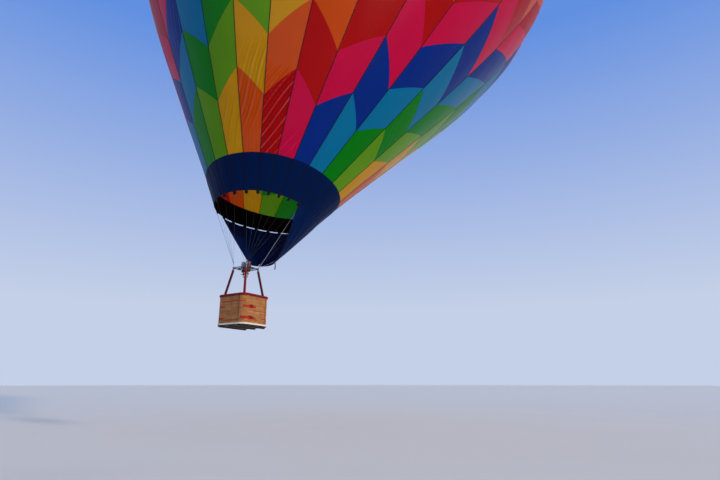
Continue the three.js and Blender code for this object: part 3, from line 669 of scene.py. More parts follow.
def hem():
    """The bound edge of the mouth, with webbing folded over it at every load tape."""
    shape = Shape()
    low = hem_arc(BAND_ANGLES)
    path = skin(low + 0.004, BAND_ANGLES, -0.004 + band_folds(low, BAND_ANGLES))
    shape.tube(path, 0.008, 8, closed=True)
    for angle in TAPES:
        for base, lift in ((0.004, 0.004), (-0.014, -0.004)):
            add_tape(shape, angle, np.linspace(-0.055, 0.15, 12), 0.110, base, lift)
    shape.build("hem_binding", [STRAP], slot="webbing")


band_layer("mouth_band_cloth", NAVY, -0.002, BAND_ARC - 0.001, "mouth_band")
# The inner sheet is painted shade
band_layer("mouth_band_inner_shade", INNER_SHADE, -0.010, BAND_ARC + 0.012)
hem()

# Scoop: the curtain that hangs below the hem on the downwind side
SCOOP_LOW, SCOOP_TOP, SCOOP_RADIUS = 0.385, 2.215, 0.695
SCOOP_GORES, SCOOP_HALF, SCOOP_TURN = 13, math.radians(51.8), math.radians(-2)
SCOOP_MIDDLE = FIRST_TAPE + (8 + SCOOP_GORES / 2) * STEP
SCOOP_TOP_RADIUS = float(np.interp(SCOOP_TOP, T_STATION, T_RADIUS)) + 0.019
SCOOP_HEIGHT, CORD_END = 1.9, (0.270, 0.296, 0.022)


def scoop_skin(c, r, out=0.0):
    """Point on the scoop: c from 0 to 1 across it, r from its lower edge up to the hem."""
    c, r, out = np.broadcast_arrays(np.asarray(c, float), r, out)
    phase = 2 * ((c * SCOOP_GORES) % 1) - 1
    widening = SCOOP_GORES * STEP / 2 - SCOOP_HALF
    half = SCOOP_HALF + np.arctan2(SCOOP_TOP_RADIUS * r * math.sin(widening),
                                   SCOOP_RADIUS * (1 - r) + SCOOP_TOP_RADIUS * r * math.cos(widening))
    station = SCOOP_LOW + (SCOOP_TOP - SCOOP_LOW) * r - 0.020 * (1 - phase**2) * r
    level = (station - SCOOP_LOW) / (SCOOP_TOP - SCOOP_LOW)
    radius = SCOOP_RADIUS + (SCOOP_TOP_RADIUS - SCOOP_RADIUS) * level
    angle = SCOOP_MIDDLE + (2 * c - 1) * half + SCOOP_TURN * (1 - r)
    return ring_point(radius + out, angle, station)


def scoop():
    columns, rows = SCOOP_GORES * 16, 72
    c, r = np.meshgrid(np.arange(columns + 1) / columns, np.arange(rows + 1) / rows)
    r = r * (1 + 0.036 * share(c, 0.60, 0.52))
    phase = 2 * ((c * SCOOP_GORES) % 1) - 1
    number = np.floor(c * SCOOP_GORES)
    belly = 0.020 * (1 - phase**2) * np.sin(PI * np.clip(r, 0, 1)) ** 0.5
    folds_out = 0.006 * np.sin(9 * phase + 2 * number) * np.exp(-(1 - r) / 0.12) * (1 - np.abs(phase) ** 4)
    drag = 0.010 * np.sin(c * 61 + r * 5) * np.exp(-r / 0.25) * np.sin(PI * c)
    points = scoop_skin(c, r, -0.006 + belly + folds_out + drag)
    obj = Shape().add(points, quads(rows + 1, columns + 1)).build("scoop_cloth", [NAVY], "scoop", "dark_cloth")
    add_uv(obj, "cloth", c * 5, r * SCOOP_HEIGHT)
    add_uv(obj, "seam", (1 - np.abs(phase)) * (0.04 + 0.16 * r), r * SCOOP_HEIGHT)
    edge_path = np.vstack([scoop_skin(0.0, np.linspace(1, 0, 40), -0.006),
                           scoop_skin(np.linspace(0, 1, 80)[1:-1], 0.0, -0.006),
                           scoop_skin(1.0, np.linspace(0, 1, 40), -0.006)])
    binding = Shape()
    binding.tube(edge_path, 0.009, 8)
    for end in (0.0, 1.0):
        binding.tube(circle(0.016, 20, scoop_skin(end, 0.0, -0.006)), 0.003, 6, closed=True)
    binding.build("scoop_binding", [STRAP], slot="webbing")


def scoop_lines():
    """Taut lines from the scoop's lower corners and a doubled one from its top corner to the load frame."""
    shape = Shape()
    for c, side in ((0.0, 1), (1.0, -1)):
        end = gon([side * 0.292, 0.270, 0.022])
        shape.tube(line(scoop_skin(c, 0.0, -0.006), end, 12), 0.0035, 6)
        shape.tube(circle(0.020, 20, end), 0.0035, 6, closed=True)
    top = skin(0.0, SCOOP_MIDDLE - SCOOP_GORES * STEP / 2 + STEP / 4, -0.03)
    for apart in (-0.012, 0.012):
        end = gon([CORD_END[0] + 0.3 * apart, *CORD_END[1:]])
        shape.tube(line(top + np.array([apart, -apart, 0]), end), 0.0046)
    shape.build("scoop_lines", [CORD], slot="webbing")


def scoop_strap():
    """A short strap end that hangs from the scoop's corner."""
    drop = np.linspace(0, 0.27, 14)
    path = scoop_skin(0.0, 0.0, -0.004) + np.stack([0.05 * drop, 0.02 * np.sin(drop * 11), -drop - 0.012], -1)
    ribbon = np.stack([path + side * np.array([0.012, 0.010, 0]) for side in (-1, 0, 1)], 1)
    obj = Shape().add(ribbon, quads(14, 3)).build("scoop_strap", [STRAP], slot="webbing")


scoop()
scoop_lines()
scoop_strap()

# Crown: ring, straps across the vent opening, and the white vent below them
CROWN_STATION = float(T_STATION[-1])
VENT_RADIUS, VENT_DROP, RING_RADIUS = 2.7, -0.036, 0.12


def crown():
    shape = Shape()
    arcs = np.linspace(TOP_ARC - 0.06, arc_at_radius(RING_RADIUS + 0.005), 40)
    width = np.minimum(0.05, 0.8 * STEP * radius_at(arcs))
    for angle in TAPES:
        add_tape(shape, angle, arcs, width, 0.006, 0.006)
    shape.build("crown_straps", [TAPE], slot="webbing")
    ring = Shape()
    ring.tube(env(circle(RING_RADIUS, 64, (0, 0, CROWN_STATION + 0.004))), 0.012, 12, closed=True)
    ring.build("crown_ring_alloy", [ALLOY], "crown_ring", "alloy")


def vent():
    """The parachute vent's cloth, its edge tape and its hub."""
    angles = around(240)
    r, a = np.meshgrid([*np.linspace(VENT_RADIUS, 0.25, 40), 0.12, 0.04], angles, indexing="ij")
    pucker = 0.010 * (1 - (2 * ((a / STEP) % 1) - 1) ** 2) * (r / VENT_RADIUS)
    points = skin(arc_at_radius(r), a + FIRST_TAPE, VENT_DROP + pucker)
    shape = Shape().add(points, quads(len(r), 240, False, True))
    obj = shape.build("vent_cloth", [WHITE], "parachute_vent", "white_cloth", "vent")
    edge = Shape()
    edge.tube(skin(arc_at_radius(VENT_RADIUS), angles + FIRST_TAPE, VENT_DROP), 0.010, 8, closed=True)
    hub = Shape()
    disc = [(1, 6), (50, 6), (55, 0), (50, -6), (1, -6)]
    hub.turned(disc, (0, 0, CROWN_STATION - 0.05))
    edge.add(env(hub.v[0]), hub.f[0])
    edge.build("vent_edge_tape", [TAPE], slot="webbing", body="vent")


crown()
vent()

# Flying wires: six from each corner's karabiner to the hem
GATHER_Z = 0.116


def karabiner(shape, x, y, turn):
    """A closed loop with its gate's sleeve, across the corner's diagonal."""
    loop = smooth_path([(0.021, -0.030), (0.024, 0.0), (0.020, 0.030), (0.0, 0.039), (-0.021, 0.028),
                        (-0.023, 0.0), (-0.019, -0.030), (0.0, -0.036)], 48, closed=True)
    c, w = math.cos(turn + PI / 2), math.sin(turn + PI / 2)
    to = lambda p: gon(np.stack([x + p[:, 0] * c, y + p[:, 0] * w, 0.0823 + p[:, 1]], -1))
    shape.tube(to(loop), 0.0055, 10, closed=True)
    gate = np.array([(0.0235, z) for z in (-0.016, -0.015, 0.015, 0.016)])
    shape.tube(to(gate), [0.006, 0.0085, 0.0085, 0.006], 12, material=1)


def wires(corner):
    """Six wires with sleeves and eyes, from a karabiner's gathering knob to rings on the hem."""
    sx, sy = CORNERS[corner]
    x, y = sx * POST, sy * POST
    shape = Shape()
    karabiner(shape, x, y, math.atan2(sy, sx))
    gather = gon([x, y, GATHER_Z])
    shape.turned([(1, 12), (12, 11), (15, 0), (12, -11), (1, -12)], gather, 20)
    a = around(18)[:, None]
    for i in range(6):
        angle = FIRST_TAPE + (corner * 6 - 3 + i) * STEP
        tip = skin(0.0, angle, -0.005)
        along = (tip - gather) / np.linalg.norm(tip - gather)
        end = tip - along * 0.035
        shape.tube(line(gather, end), 0.0022, 6, material=2)
        shape.tube(line(gather + along * 0.03, gather + along * 0.075), 0.0055)
        shape.tube(line(end - along * 0.05, end - along * 0.008), 0.0055, material=2)
        side = np.array([-math.sin(angle), math.cos(angle), 0])
        eye = end + along * 0.016 + 0.016 * (np.cos(a) * along + np.sin(a) * side)
        shape.tube(eye, 0.0028, 6, closed=True, material=2)
        ring = tip - along * 0.004 + 0.014 * (np.cos(a) * along + np.sin(a) * np.cross(along, side))
        shape.tube(ring, 0.0032, 6, closed=True, material=2)
    number = corner + 1
    shape.build(f"flying_wires_{number}_rigging", [STEEL, ALLOY, WIRE_ROPE], f"flying_wires_{number}", "wire")


for i in range(4):
    wires(i)


# Load frame and gimbal
def square_walk(half, radius, count):
    """Evenly spaced points round a square with round corners, counter-clockwise from the +X side,
    with their outward directions and the lengths walked."""
    flat = half - radius
    side = 2 * flat + radius * PI / 2
    walked = np.arange(count) * 4 * side / count
    face = np.floor(walked / side)
    rest = walked - face * side
    turn = np.clip((rest - 2 * flat) / radius, 0, None)
    x = flat + radius * np.cos(turn)
    y = np.minimum(rest, 2 * flat) - flat + radius * np.sin(turn)
    c, w = np.cos(face * PI / 2), np.sin(face * PI / 2)
    ox, oy = np.cos(turn), np.sin(turn)
    points = np.stack([x * c - y * w, x * w + y * c, np.zeros(count)], -1)
    out = np.stack([ox * c - oy * w, ox * w + oy * c, np.zeros(count)], -1)
    return points, out, walked


def square_path(half, radius, z, count=240):
    return gon(square_walk(half, radius, count)[0] + np.array([0, 0, z]))


def eyelet(shape, centre, turn, width, height, thickness, hole, hole_z):
    """An upright plate with a round hole, its face along the direction turn."""
    a = around(32)
    n = 1 / (np.abs(np.cos(a)) ** 5 + np.abs(np.sin(a)) ** 5) ** 0.2
    outer = np.stack([np.cos(a) * n * width / 2, np.sin(a) * n * height / 2], -1)
    inner = np.stack([hole * np.cos(a), hole_z + hole * np.sin(a)], -1)
    rings, (c, w) = [], (math.cos(turn), math.sin(turn))
    for side, ring in ((1, inner), (1, outer), (-1, outer), (-1, inner)):
        x = side * thickness / 2
        rings.append(np.stack([x * c - ring[:, 0] * w, x * w + ring[:, 0] * c, ring[:, 1]], -1))
    shape.add(np.vstack(rings) + centre, quads(4, 32, True, True))


def load_frame():
    """A square tube frame with a socket, an eye and bolts at each corner, and two bearings for the gimbal."""
    shape = Shape()
    shape.tube(square_path(0.29, 0.043, 0), 0.017, 16, closed=True)
    socket = [(1, 24), (20, 24), (26, 18), (26, -30), (28, -34), (28, -44), (25, -48), (25, -75), (1, -75)]
    bolt = [(1, 4), (8, 4), (9, 0), (9, -4)]
    for sx, sy in CORNERS:
        x, y = sx * POST, sy * POST
        shape.turned(socket, gon([x, y, 0]), 28)
        eyelet(shape, gon([x, y, 0.044]), math.atan2(sy, sx), 0.05, 0.062, 0.012, 0.011, 0.002)
        for bolt_x, bolt_y in ((x, y - 0.031 * sy), (x + 0.031 * sx, y)):
            shape.turned(bolt, gon([bolt_x, bolt_y, 0]), 6, material=1)
    bearing = [(9.8, 246), (16, 246), (17, 249), (17, 262), (16, 266), (16, 285)]
    for side in (-1, 1):
        shape.turned(bearing, gon([0, 0, 0]), 28, "x", mirror=side)
    shape.build("load_frame_tubes", [FRAME_METAL, DARK_METAL], "load_frame", "frame_metal", angle=40)


def gimbal():
    """A flat frame on two pins along X, with the nuts of the burner's pins along Y."""
    shape = Shape()
    pin = [(1, 264), (9, 263), (9, 243), (14, 243), (14, 239), (9, 239), (9, 226), (15, 226), (15, 222)]
    nut = [(8, 152), (13, 152), (14, 154), (14, 160), (8, 162)]
    cap = [(1, 156), (6, 156), (7, 152)]
    for side in (-1, 1):
        shape.block((0.016, 0.304, 0.026), gon([side * 0.214, 0, 0]))
        shape.block((0.412, 0.016, 0.026), gon([0, side * 0.144, 0]))
        shape.turned(pin, gon([0, 0, 0]), 24, "x", 1, True, side)
        shape.turned(nut, gon([0, 0, 0]), 24, "y", 1, True, side)
        for dx in (-0.15, 0.15):
            shape.turned(cap, gon([dx, 0, 0]), 6, "y", 1, True, side)
    shape.build("gimbal_ring_frame", [DARK_METAL, STEEL], "gimbal_ring", "dark_metal", "gimbal", 40)


load_frame()
gimbal()


# Burners
def burner_block():
    """The manifold with its two arms, their pins along Y, and the outlets to the valves."""
    shape = Shape()
    shape.block((0.30, 0.096, 0.052), gon([0, 0, -0.090]), 0.006)
    outlet = [(20, -112), (20, -128), (23, -130), (23, -140), (19, -143), (19, -150)]
    pin = [(7.5, 110), (7.5, 148), (1, 149)]
    boss = [(14, 122.5), (14, 127), (7.5, 129)]
    screw = [(1, -58.5), (5, -58.5), (5.5, -64)]
    for side in (-1, 1):
        shape.block((0.030, 0.012, 0.084), gon([0, side * 0.116, -0.025]), 0.002)
        shape.block((0.030, 0.080, 0.014), gon([0, side * 0.082, -0.072]), 0.002)
        for outline in (pin, boss):
            shape.turned(outline, gon([0, 0, 0]), 20, "y", 1, mirror=side)
        x = side * BURNER_X
        shape.turned(outlet, gon([x, 0, 0]), 24, material=2)
        for dy in (-0.034, 0.034):
            for dx in (-0.034, 0.034):
                shape.turned(screw, gon([x + dx, dy, 0]), 6, material=1)
    shape.build("burner_manifold", [DARK_METAL, STEEL, BRASS], "burner_block", "dark_metal", "burner", 40)


def burner(number, x, can_metal, coil_metal, slot):
    """An open can with rows of air holes, a coil round it, and a ring of jets and a pilot light in it."""
    shape = Shape()
    wall = [(1, -62), (50, -62), (72, -58), (77, -50), (77, 206), (80, 212), (86, 216), (87, 218), (85, 218.5),
            (79, 214.5), (74.5, 206), (74.5, -18), (1, -20)]
    shape.turned(wall, gon([x, 0, 0]), 56)
    # Air holes drawn as dark discs: painted shade
    for z, twist in ((0.030, 0), (0.118, 0.5)):
        for k in range(12):
            a = (k + twist) * PI / 6
            out = np.array([math.cos(a), math.sin(a), 0])
            shape.tube(line(gon([x, 0, z]) + out * 0.0765, gon([x, 0, z]) + out * 0.0785), 0.007, 10, material=3)
    coil, turns, pitch, first = 0.0845, 6, 0.034, -0.037
    a = np.linspace(0, 2 * PI * turns, turns * 40 + 1)
    helix = np.stack([x + coil * np.cos(a), coil * np.sin(a), first + pitch * a / (2 * PI)], -1)
    shape.tube(gon(helix), 0.0075, 10, material=1)
    feed = [(x + coil, 0, -0.037), (x + 0.082, 0.012, -0.050), (x + 0.066, 0.026, -0.058), (x + 0.04, 0.03, -0.064)]
    shape.tube(gon(smooth_path(feed, 14)), 0.0070, 10, material=1)
    back = [(x + coil, 0, 0.167), (x + 0.080, 0.02, 0.178), (x + 0.066, 0.024, 0.172), (x + 0.058, 0.020, 0.120),
            (x + 0.055, 0.016, 0.02), (x + 0.040, 0.010, -0.005)]
    shape.tube(gon(smooth_path(back, 34)), 0.0060, material=1)
    shape.tube(circle(0.045, 40, gon([x, 0, -0.004])), 0.006, closed=True, material=1)
    for jet in circle(0.045, 14, gon([x, 0, 0])):
        shape.turned([(4, -2), (4, 10), (1.6, 13)], jet, 8, material=2)
    pilot = [(14, -18), (14, 4), (10, 10), (10, 26), (7, 26)]
    shape.turned(pilot, gon([x, 0, 0]), 20, material=2)
    materials = [can_metal, coil_metal, BRASS, HOLE_SHADE]
    shape.build(f"burner_{number}_can", materials, f"burner_{number}", slot, "burner", 50)


def blast_valve(number, x):
    """A valve body with its collar, foot and side plugs, and a lever with a red knob."""
    centre, lever_x, top = gon([x, 0, VALVE_TOP]), x + math.copysign(0.010, x), VALVE_TOP
    shape = Shape()
    shape.block((0.046, 0.046, 0.050), gon([x, 0, top - 0.029]), 0.004)
    shape.turned([(1, 0), (18, 0), (20, -6), (20, -10)], centre, 6)
    shape.turned([(14, -52), (14, -62), (10, -64), (9, -88), (1, -90)], centre, 16)
    for end in (1, -1):
        shape.turned([(9, 24), (9, 28), (1, 28)], gon([x, 0, top - 0.034]), 16, "x", mirror=end)
    lever = [(lever_x, -0.010, top - 0.050), (lever_x, -0.050, top - 0.052), (lever_x, -0.100, top - 0.047)]
    shape.tube(gon(smooth_path(lever, 16)), 0.0045, 10, material=1)
    knob = gon([(lever_x, y, top - 0.0475) for y in (-0.080, -0.084, -0.108, -0.114, -0.1155)])
    shape.tube(knob, [0.006, 0.010, 0.010, 0.007, 0.002], 14, material=2)
    shape.block((0.020, 0.014, 0.026), gon([lever_x, -0.030, top - 0.044]), 0.002, 1)
    materials = [DARK_METAL, STEEL, RED_KNOB]
    shape.build(f"blast_valve_{number}_body", materials, f"blast_valve_{number}", "dark_metal", "burner", 40)


def burner_hoses():
    """Two black hoses that loop from the blast valves' feet up to the manifold."""
    shape = Shape()
    for side in (-1, 1):
        x = side * BURNER_X
        loop = smooth_path([(x, 0, -0.238), (x, side * 0.004, -0.268), (x * 0.72, side * 0.020, -0.290),
                            (x * 0.20, side * 0.032, -0.272), (x * 0.05, side * 0.034, -0.200),
                            (x * 0.10, side * 0.034, -0.118)], 40)
        shape.tube(gon(loop), 0.0085, 12)
        for end in (loop[:3], loop[-3:]):
            shape.tube(gon(end), 0.0115, material=1)
    shape.build("burner_hoses", [RUBBER, BRASS], body="burner")


burner_block()
burner_hoses()
burner(1, -BURNER_X, CAN_STEEL, STEEL, "stainless")
burner(2, BURNER_X, CAN_COPPER, COPPER, "copper")
blast_valve(1, -BURNER_X)
blast_valve(2, BURNER_X)


# Padded uprights
def upright(number, sx, sy):
    """A plump leather sleeve with cuffs, its stitched seam on the inside of the corner."""
    head, foot = np.array([sx * POST, sy * POST, POST_TOP]), np.array([sx * FOOT, sy * FOOT, FOOT_Z])
    at = lambda s: head + (foot - head) * np.asarray(s)[..., None]
    shape = Shape()
    s = np.concatenate([[0.012], np.linspace(0.016, 0.984, 60), [0.988]])
    plump = 0.0370 + 0.0008 * np.sin(s * 46) + 0.0006 * np.sin(s * 113 + number)
    plump[[0, -1]] = 0.030
    shape.tube(gon(at(s)), plump, 24)
    for a, b in ((0.0, 0.05), (0.945, 1.0)):
        cuff = np.array([a, a + 0.004, b - 0.004, b])
        shape.tube(gon(at(cuff)), [0.036, 0.0386, 0.0386, 0.036], 24, material=1)
    out = np.array([sx, sy, 0]) / math.sqrt(2)
    across = np.array([-sy, sx, 0]) / math.sqrt(2) * 0.004
    shape.tube(gon(at(np.linspace(0.05, 0.945, 120)) - out * 0.0373), 0.0022, 6, material=1)
    for middle in at(np.linspace(0.06, 0.935, 64)) - out * 0.0380:
        shape.tube(gon([middle - across, middle + across]), 0.0009, 4, material=2)
    # Painted light: the front upright takes the lit copy of the leather, the others the shaded copy
    sleeve = LIT_FRONT_LEATHER if number == 2 else SHADED_POST_LEATHER
    obj = shape.build(f"upright_{number}_pad", [sleeve, RED_LEATHER, THREAD], f"upright_{number}", "red_pad")


for number, corner in enumerate(CORNERS, 1):
    upright(number, *corner)

# Basket rim: a padded leather roll with a stitched seam along its lower outside
RIM_HALF, RIM_CORNER, RIM_POINTS = HALF - WALL / 2, CORNER - WALL / 2, 420


def basket_rim():
    shape = Shape()
    roll = square_path(RIM_HALF, RIM_CORNER, RIM_Z, RIM_POINTS)
    walked = np.arange(RIM_POINTS)
    plump = 0.0405 + 0.0008 * np.sin(walked * 0.31) + 0.0005 * np.sin(walked * 0.83 + 1)
    shape.tube(roll, plump, 24, closed=True)
    tangent = frames(roll, True)[0]
    out, down = np.cross(tangent, (0, 0, 1)), np.array([0, 0, -1.0])

    def on_roll(turn, radius):
        """Points on the roll, turned down from its outer side."""
        return roll + (out * math.cos(turn) + down * math.sin(turn)) * radius

    turn = math.radians(52)
    shape.tube(on_roll(turn, 0.0415), 0.0030, 6, closed=True, material=1)
    for stitch in list(zip(on_roll(turn - 0.1, 0.0420), on_roll(turn + 0.13, 0.0420)))[::2]:
        shape.tube(stitch, 0.0010, 4, material=2)
    obj = shape.build("basket_rim_roll", [RED_LEATHER, RED_LEATHER, THREAD], "basket_rim", "red_pad")


basket_rim()

# Basket walls: willow woven in and out of upright stakes, each rod about 70 points long
STAKES, PER_STAKE, ROD, ROW, WEAVE, ROD_POINTS = 96, 5, 0.0054, 0.0105, 0.0088, 70
LINING_INSET, HOLE_MARGIN = 0.0152, 0.006

# Red weave on the right wall: (from z, to z, from x round the corner, from y, to y)
RIGHT_RED = [(-1.341, -1.276, 0.48, -0.6, -0.026), (-1.697, -1.614, 0.43, -0.6, -0.08),
             (-1.700, -1.684, 0.5, -0.12, -0.05), (-1.722, -1.702, 0.5, -0.07, 0.0), (-1.742, -1.724, 0.5, -0.02, 0.05),
             (-1.668, -1.652, 0.4, 0.20, 0.6), (-1.760, -1.690, 0.4, 0.40, 0.6)]
# and on the front wall: (from z, to z, from x, to x)
FRONT_RED = [(-1.334, -1.290, -0.6, -0.20), (-1.690, -1.632, -0.6, -0.26), (-1.163, -1.132, -0.334, 0.54),
             (-1.744, -1.723, -0.25, 0.32)]
# Step holes in the left and right walls: their middles, half width and half height, and the straps across them
GUARD_SIZE, GUARD_X = (0.006, 0.200, 0.072), 0.536
HOLE_Y, HOLE_LEVELS, HOLE_WIDE, HOLE_HIGH = -0.25, (-1.308, -1.655), 0.085, 0.05
WALL_LEVELS = [BOTTOM, *(z + d for z in HOLE_LEVELS[::-1] for d in (-HOLE_HIGH, HOLE_HIGH)), RIM_Z - 0.02]


def by_hole(points, margin=0.0):
    """Which points of the wall stand within the width of the step holes."""
    return (np.abs(points[..., 0]) > 0.5) & (np.abs(points[..., 1] - HOLE_Y) < HOLE_WIDE + margin)


def red_rod(points, z):
    """The rods that are red: bars level with the step holes and thin woven lines."""
    x, y = points[:, 0], points[:, 1]
    red = np.zeros(len(points), bool)
    for low, high, corner, start, end in RIGHT_RED:
        if low < z < high:
            red |= (x > corner) & (y > start) & (y < end)
    for low, high, start, end in FRONT_RED:
        if low < z < high:
            red |= (y < -0.39) & (x > start) & (x < end)
    return red


def basket_walls():
    """Four woven walls with their stakes, lining, lacing and step holes, one piece each."""
    count = STAKES * PER_STAKE
    points, out, walked = square_walk(RIM_HALF, RIM_CORNER, count)
    perimeter = walked[-1] + walked[1]
    walls = [Shape() for _ in range(4)]
    parts = [(np.arange(count // 4 + 1) + face * count // 4) % count for face in range(4)]
    for row in range(int((RIM_Z - 0.038 - BOTTOM) / ROW)):
        z = BOTTOM + ROW * (row + 0.5)
        wave = np.cos(PI * walked / (perimeter / STAKES) + PI * row)
        centre = points + out * (WEAVE * wave)[:, None]
        centre[:, 2] = z + (0.0009 * np.sin(walked * 9 + row * 2.3) + 0.0006 * rng.standard_normal())
        rod = np.cumsum(rng.random(count) < 1 / ROD_POINTS)
        tones = np.clip(0.5 + 0.22 * rng.standard_normal(rod[-1] + 1), 0.05, 0.95)[rod]
        # Painted shade: each rod darker where it bends in behind a stake
        tone = np.clip(tones + (0.16 * wave - 0.22 * wave**2 + 0.08), 0, 1)
        near_hole = any(abs(z - level) < HOLE_HIGH + HOLE_MARGIN for level in HOLE_LEVELS)
        cut, red = by_hole(points, HOLE_MARGIN) & near_hole, red_rod(points, z)
        for shape, part in zip(walls, parts):
            weave_row(shape, centre[part], out[part], tone[part], cut[part], red[part])
    for shape, part in zip(walls, parts):
        backing(shape, points[part] - LINING_INSET * out[part])
    for k in range(STAKES):
        x, y, _ = base = points[k * PER_STAKE]
        levels = WALL_LEVELS if by_hole(base, 0.003) else [WALL_LEVELS[0], WALL_LEVELS[-1]]
        for low, high in zip(levels[::2], levels[1::2]):
            tone = 0.05 + 0.2 * rng.random()
            walls[k * 4 // STAKES].tube(gon([[x, y, low], [x, y, high]]), 0.0052, 6, tone=tone)
    for face, (shape, name) in enumerate(zip(walls, ("right", "back", "left", "front"))):
        if face % 2 == 0:
            hole_trim(shape, 1 - face)
        lacing(shape, face * PI / 2)
        replaces = None if face else "basket_wall"
        shape.build(f"basket_wall_{name}", [WILLOW, RED_CANE, LACE, INSIDE], replaces, "wicker")


def weave_row(shape, centre, out, tone, cut, red, sides=5):
    """One row of rods along a wall, left out where it is cut."""
    spin = around(sides)[:, None]
    ring = centre[:, None] + (out[:, None] * np.cos(spin) + np.array([0, 0, 1.0]) * np.sin(spin)) * ROD
    faces = quads(len(centre), sides, False, True)
    place = faces[:, 0] // sides
    keep = ~(cut[place] | cut[np.minimum(place + 1, len(cut) - 1)])
    shape.add(gon(ring), faces[keep], red[place][keep].astype(int), np.repeat(tone, sides))


def backing(shape, wall):
    """The dark lining on the wall's inside, open where the step holes are."""
    faces = quads(len(WALL_LEVELS), len(wall))
    row, column = faces[:, 0] // len(wall), faces[:, 0] % len(wall)
    hole = (row % 2 == 1) & by_hole((wall[column] + wall[column + 1]) / 2)
    shape.add(gon([wall + np.array([0, 0, z]) for z in WALL_LEVELS]), faces[~hole], 3)


def lacing(shape, turn):
    """The dark cord that laces two panels together where a wall turns into the corner."""
    heights = np.arange(BOTTOM + 0.07, RIM_Z - 0.05, 0.024)
    zigzag = np.where(np.arange(len(heights)) % 2, 0.009, -0.009)
    along, out = HALF - CORNER + zigzag, np.full(len(heights), RIM_HALF + 0.017)
    c, w = math.cos(turn), math.sin(turn)
    path = np.stack([out * c - along * w, out * w + along * c, heights], -1)
    shape.tube(gon(path), 0.0042, 6, material=2)


def hole_trim(shape, side):
    """Red binding round the step holes of one side wall, outside and inside."""
    a = around(48)
    squared = lambda v: np.sign(v) * np.abs(v) ** 0.42
    for z in HOLE_LEVELS:
        for inset, x in ((0.0, 0.012), (0.004, -0.012)):
            y = HOLE_Y + (0.087 - inset) * squared(np.cos(a))
            path = np.stack([np.full(48, side * (RIM_HALF + x)), y, z + (0.052 - inset) * squared(np.sin(a))], -1)
            shape.tube(gon(path), 0.0040, closed=True, material=1, tone=0.45)


basket_walls()


def sockets():
    """Leather sleeves that hold the uprights' feet in the basket's corners."""
    shape = Shape()
    sleeve = [(38.5, -925), (43, -926), (43.5, -935), (43.5, -1045), (42, -1055), (1, -1055)]
    for sx, sy in CORNERS:
        foot = gon([sx * FOOT, sy * FOOT, 0])
        shape.turned(sleeve, foot, 28)
        outside = gon([sx * (FOOT + 0.046), sy * (FOOT + 0.046), -1.023])
        shape.block((0.11, 0.022, 0.06), outside, material=1, turn=math.atan2(sy, sx))
        for z in (-945, -1035):
            clamp = [(43.5, z + 6), (45.5, z + 5), (45.5, z - 5), (43.5, z - 6)]
            shape.turned(clamp, foot, 28, material=2)
    shape.build("upright_sockets", [HIDE, HARDWOOD, STEEL], slot="hide", angle=40)


sockets()

# Hide band round the wall's foot: how far it stands proud of the wall at each height
BAND_TOP = BOTTOM + 0.058
BAND_OUTLINE = [(0.0075, BOTTOM - 0.0183), (0.0080, BOTTOM - 0.0120), (0.0084, BOTTOM + 0.0080),
                (0.0082, BOTTOM + 0.0085), (0.0082, BAND_TOP - 0.008), (0.0065, BAND_TOP), (0.0040, BAND_TOP),
                (0.0012, BAND_TOP - 0.005)]


def hide_band():
    """A pale band with its lower edge painted dark as shade, laced to the wall along its top."""
    shape = Shape()
    count, last = 320, len(BAND_OUTLINE) - 1
    wobble = 0.0010 * np.sin(np.arange(count) * 0.45) + 0.0008 * np.sin(np.arange(count) * 1.13)
    rings = [square_path(HALF + proud, CORNER + proud, z, count) for proud, z in BAND_OUTLINE]
    for ring in rings[1:last]:
        ring[:, 2] += wobble
    # Painted shade: the lowest two rows of faces take the dark hide
    material = np.repeat([2, 2] + [0] * (last - 2), count)
    shape.add(rings, quads(len(rings), count, False, True)[:, ::-1], material)
    path = square_path(HALF + 0.0095, CORNER + 0.0095, BAND_TOP - 0.010, 280)
    low, high = path[::4] + np.array([0, 0, -0.012]), path[2::4] + np.array([0, 0, 0.014])
    for a, b, c in zip(low, high, np.roll(low, -1, 0)):
        shape.tube([a, (a + b) / 2, b], 0.0022, 5, material=1)
        shape.tube([b, (b + c) / 2, c], 0.0022, 5, material=1)
    shape.build("hide_band_rawhide", [HIDE, THREAD, PAINTED_SHADE_HIDE], "hide_band", "hide")


hide_band()


def toe_guards():
    """Red leather straps inside the side walls, across the step holes."""
    shape = Shape()
    for side in (-1, 1):
        for z in HOLE_LEVELS:
            shape.block(GUARD_SIZE, gon([side * GUARD_X, HOLE_Y, z]), 0.002)
    shape.build("toe_guards", [STRAP_RED], slot="red_pad")


toe_guards()


def dress(name, material, bevel):
    """A CAD node kept as it is, with its finish and eased edges."""
    node = NODES[name]
    node.data.materials.clear()
    node.data.materials.append(material)
    ease = node.modifiers.new("eased_edges", "BEVEL")
    ease.width, ease.segments, ease.limit_method = bevel, 2, "ANGLE"


dress("basket_floor", PLYWOOD, 0.003)
for side in ("left", "middle", "right"):
    dress(f"runner_{side}", HARDWOOD, 0.006)


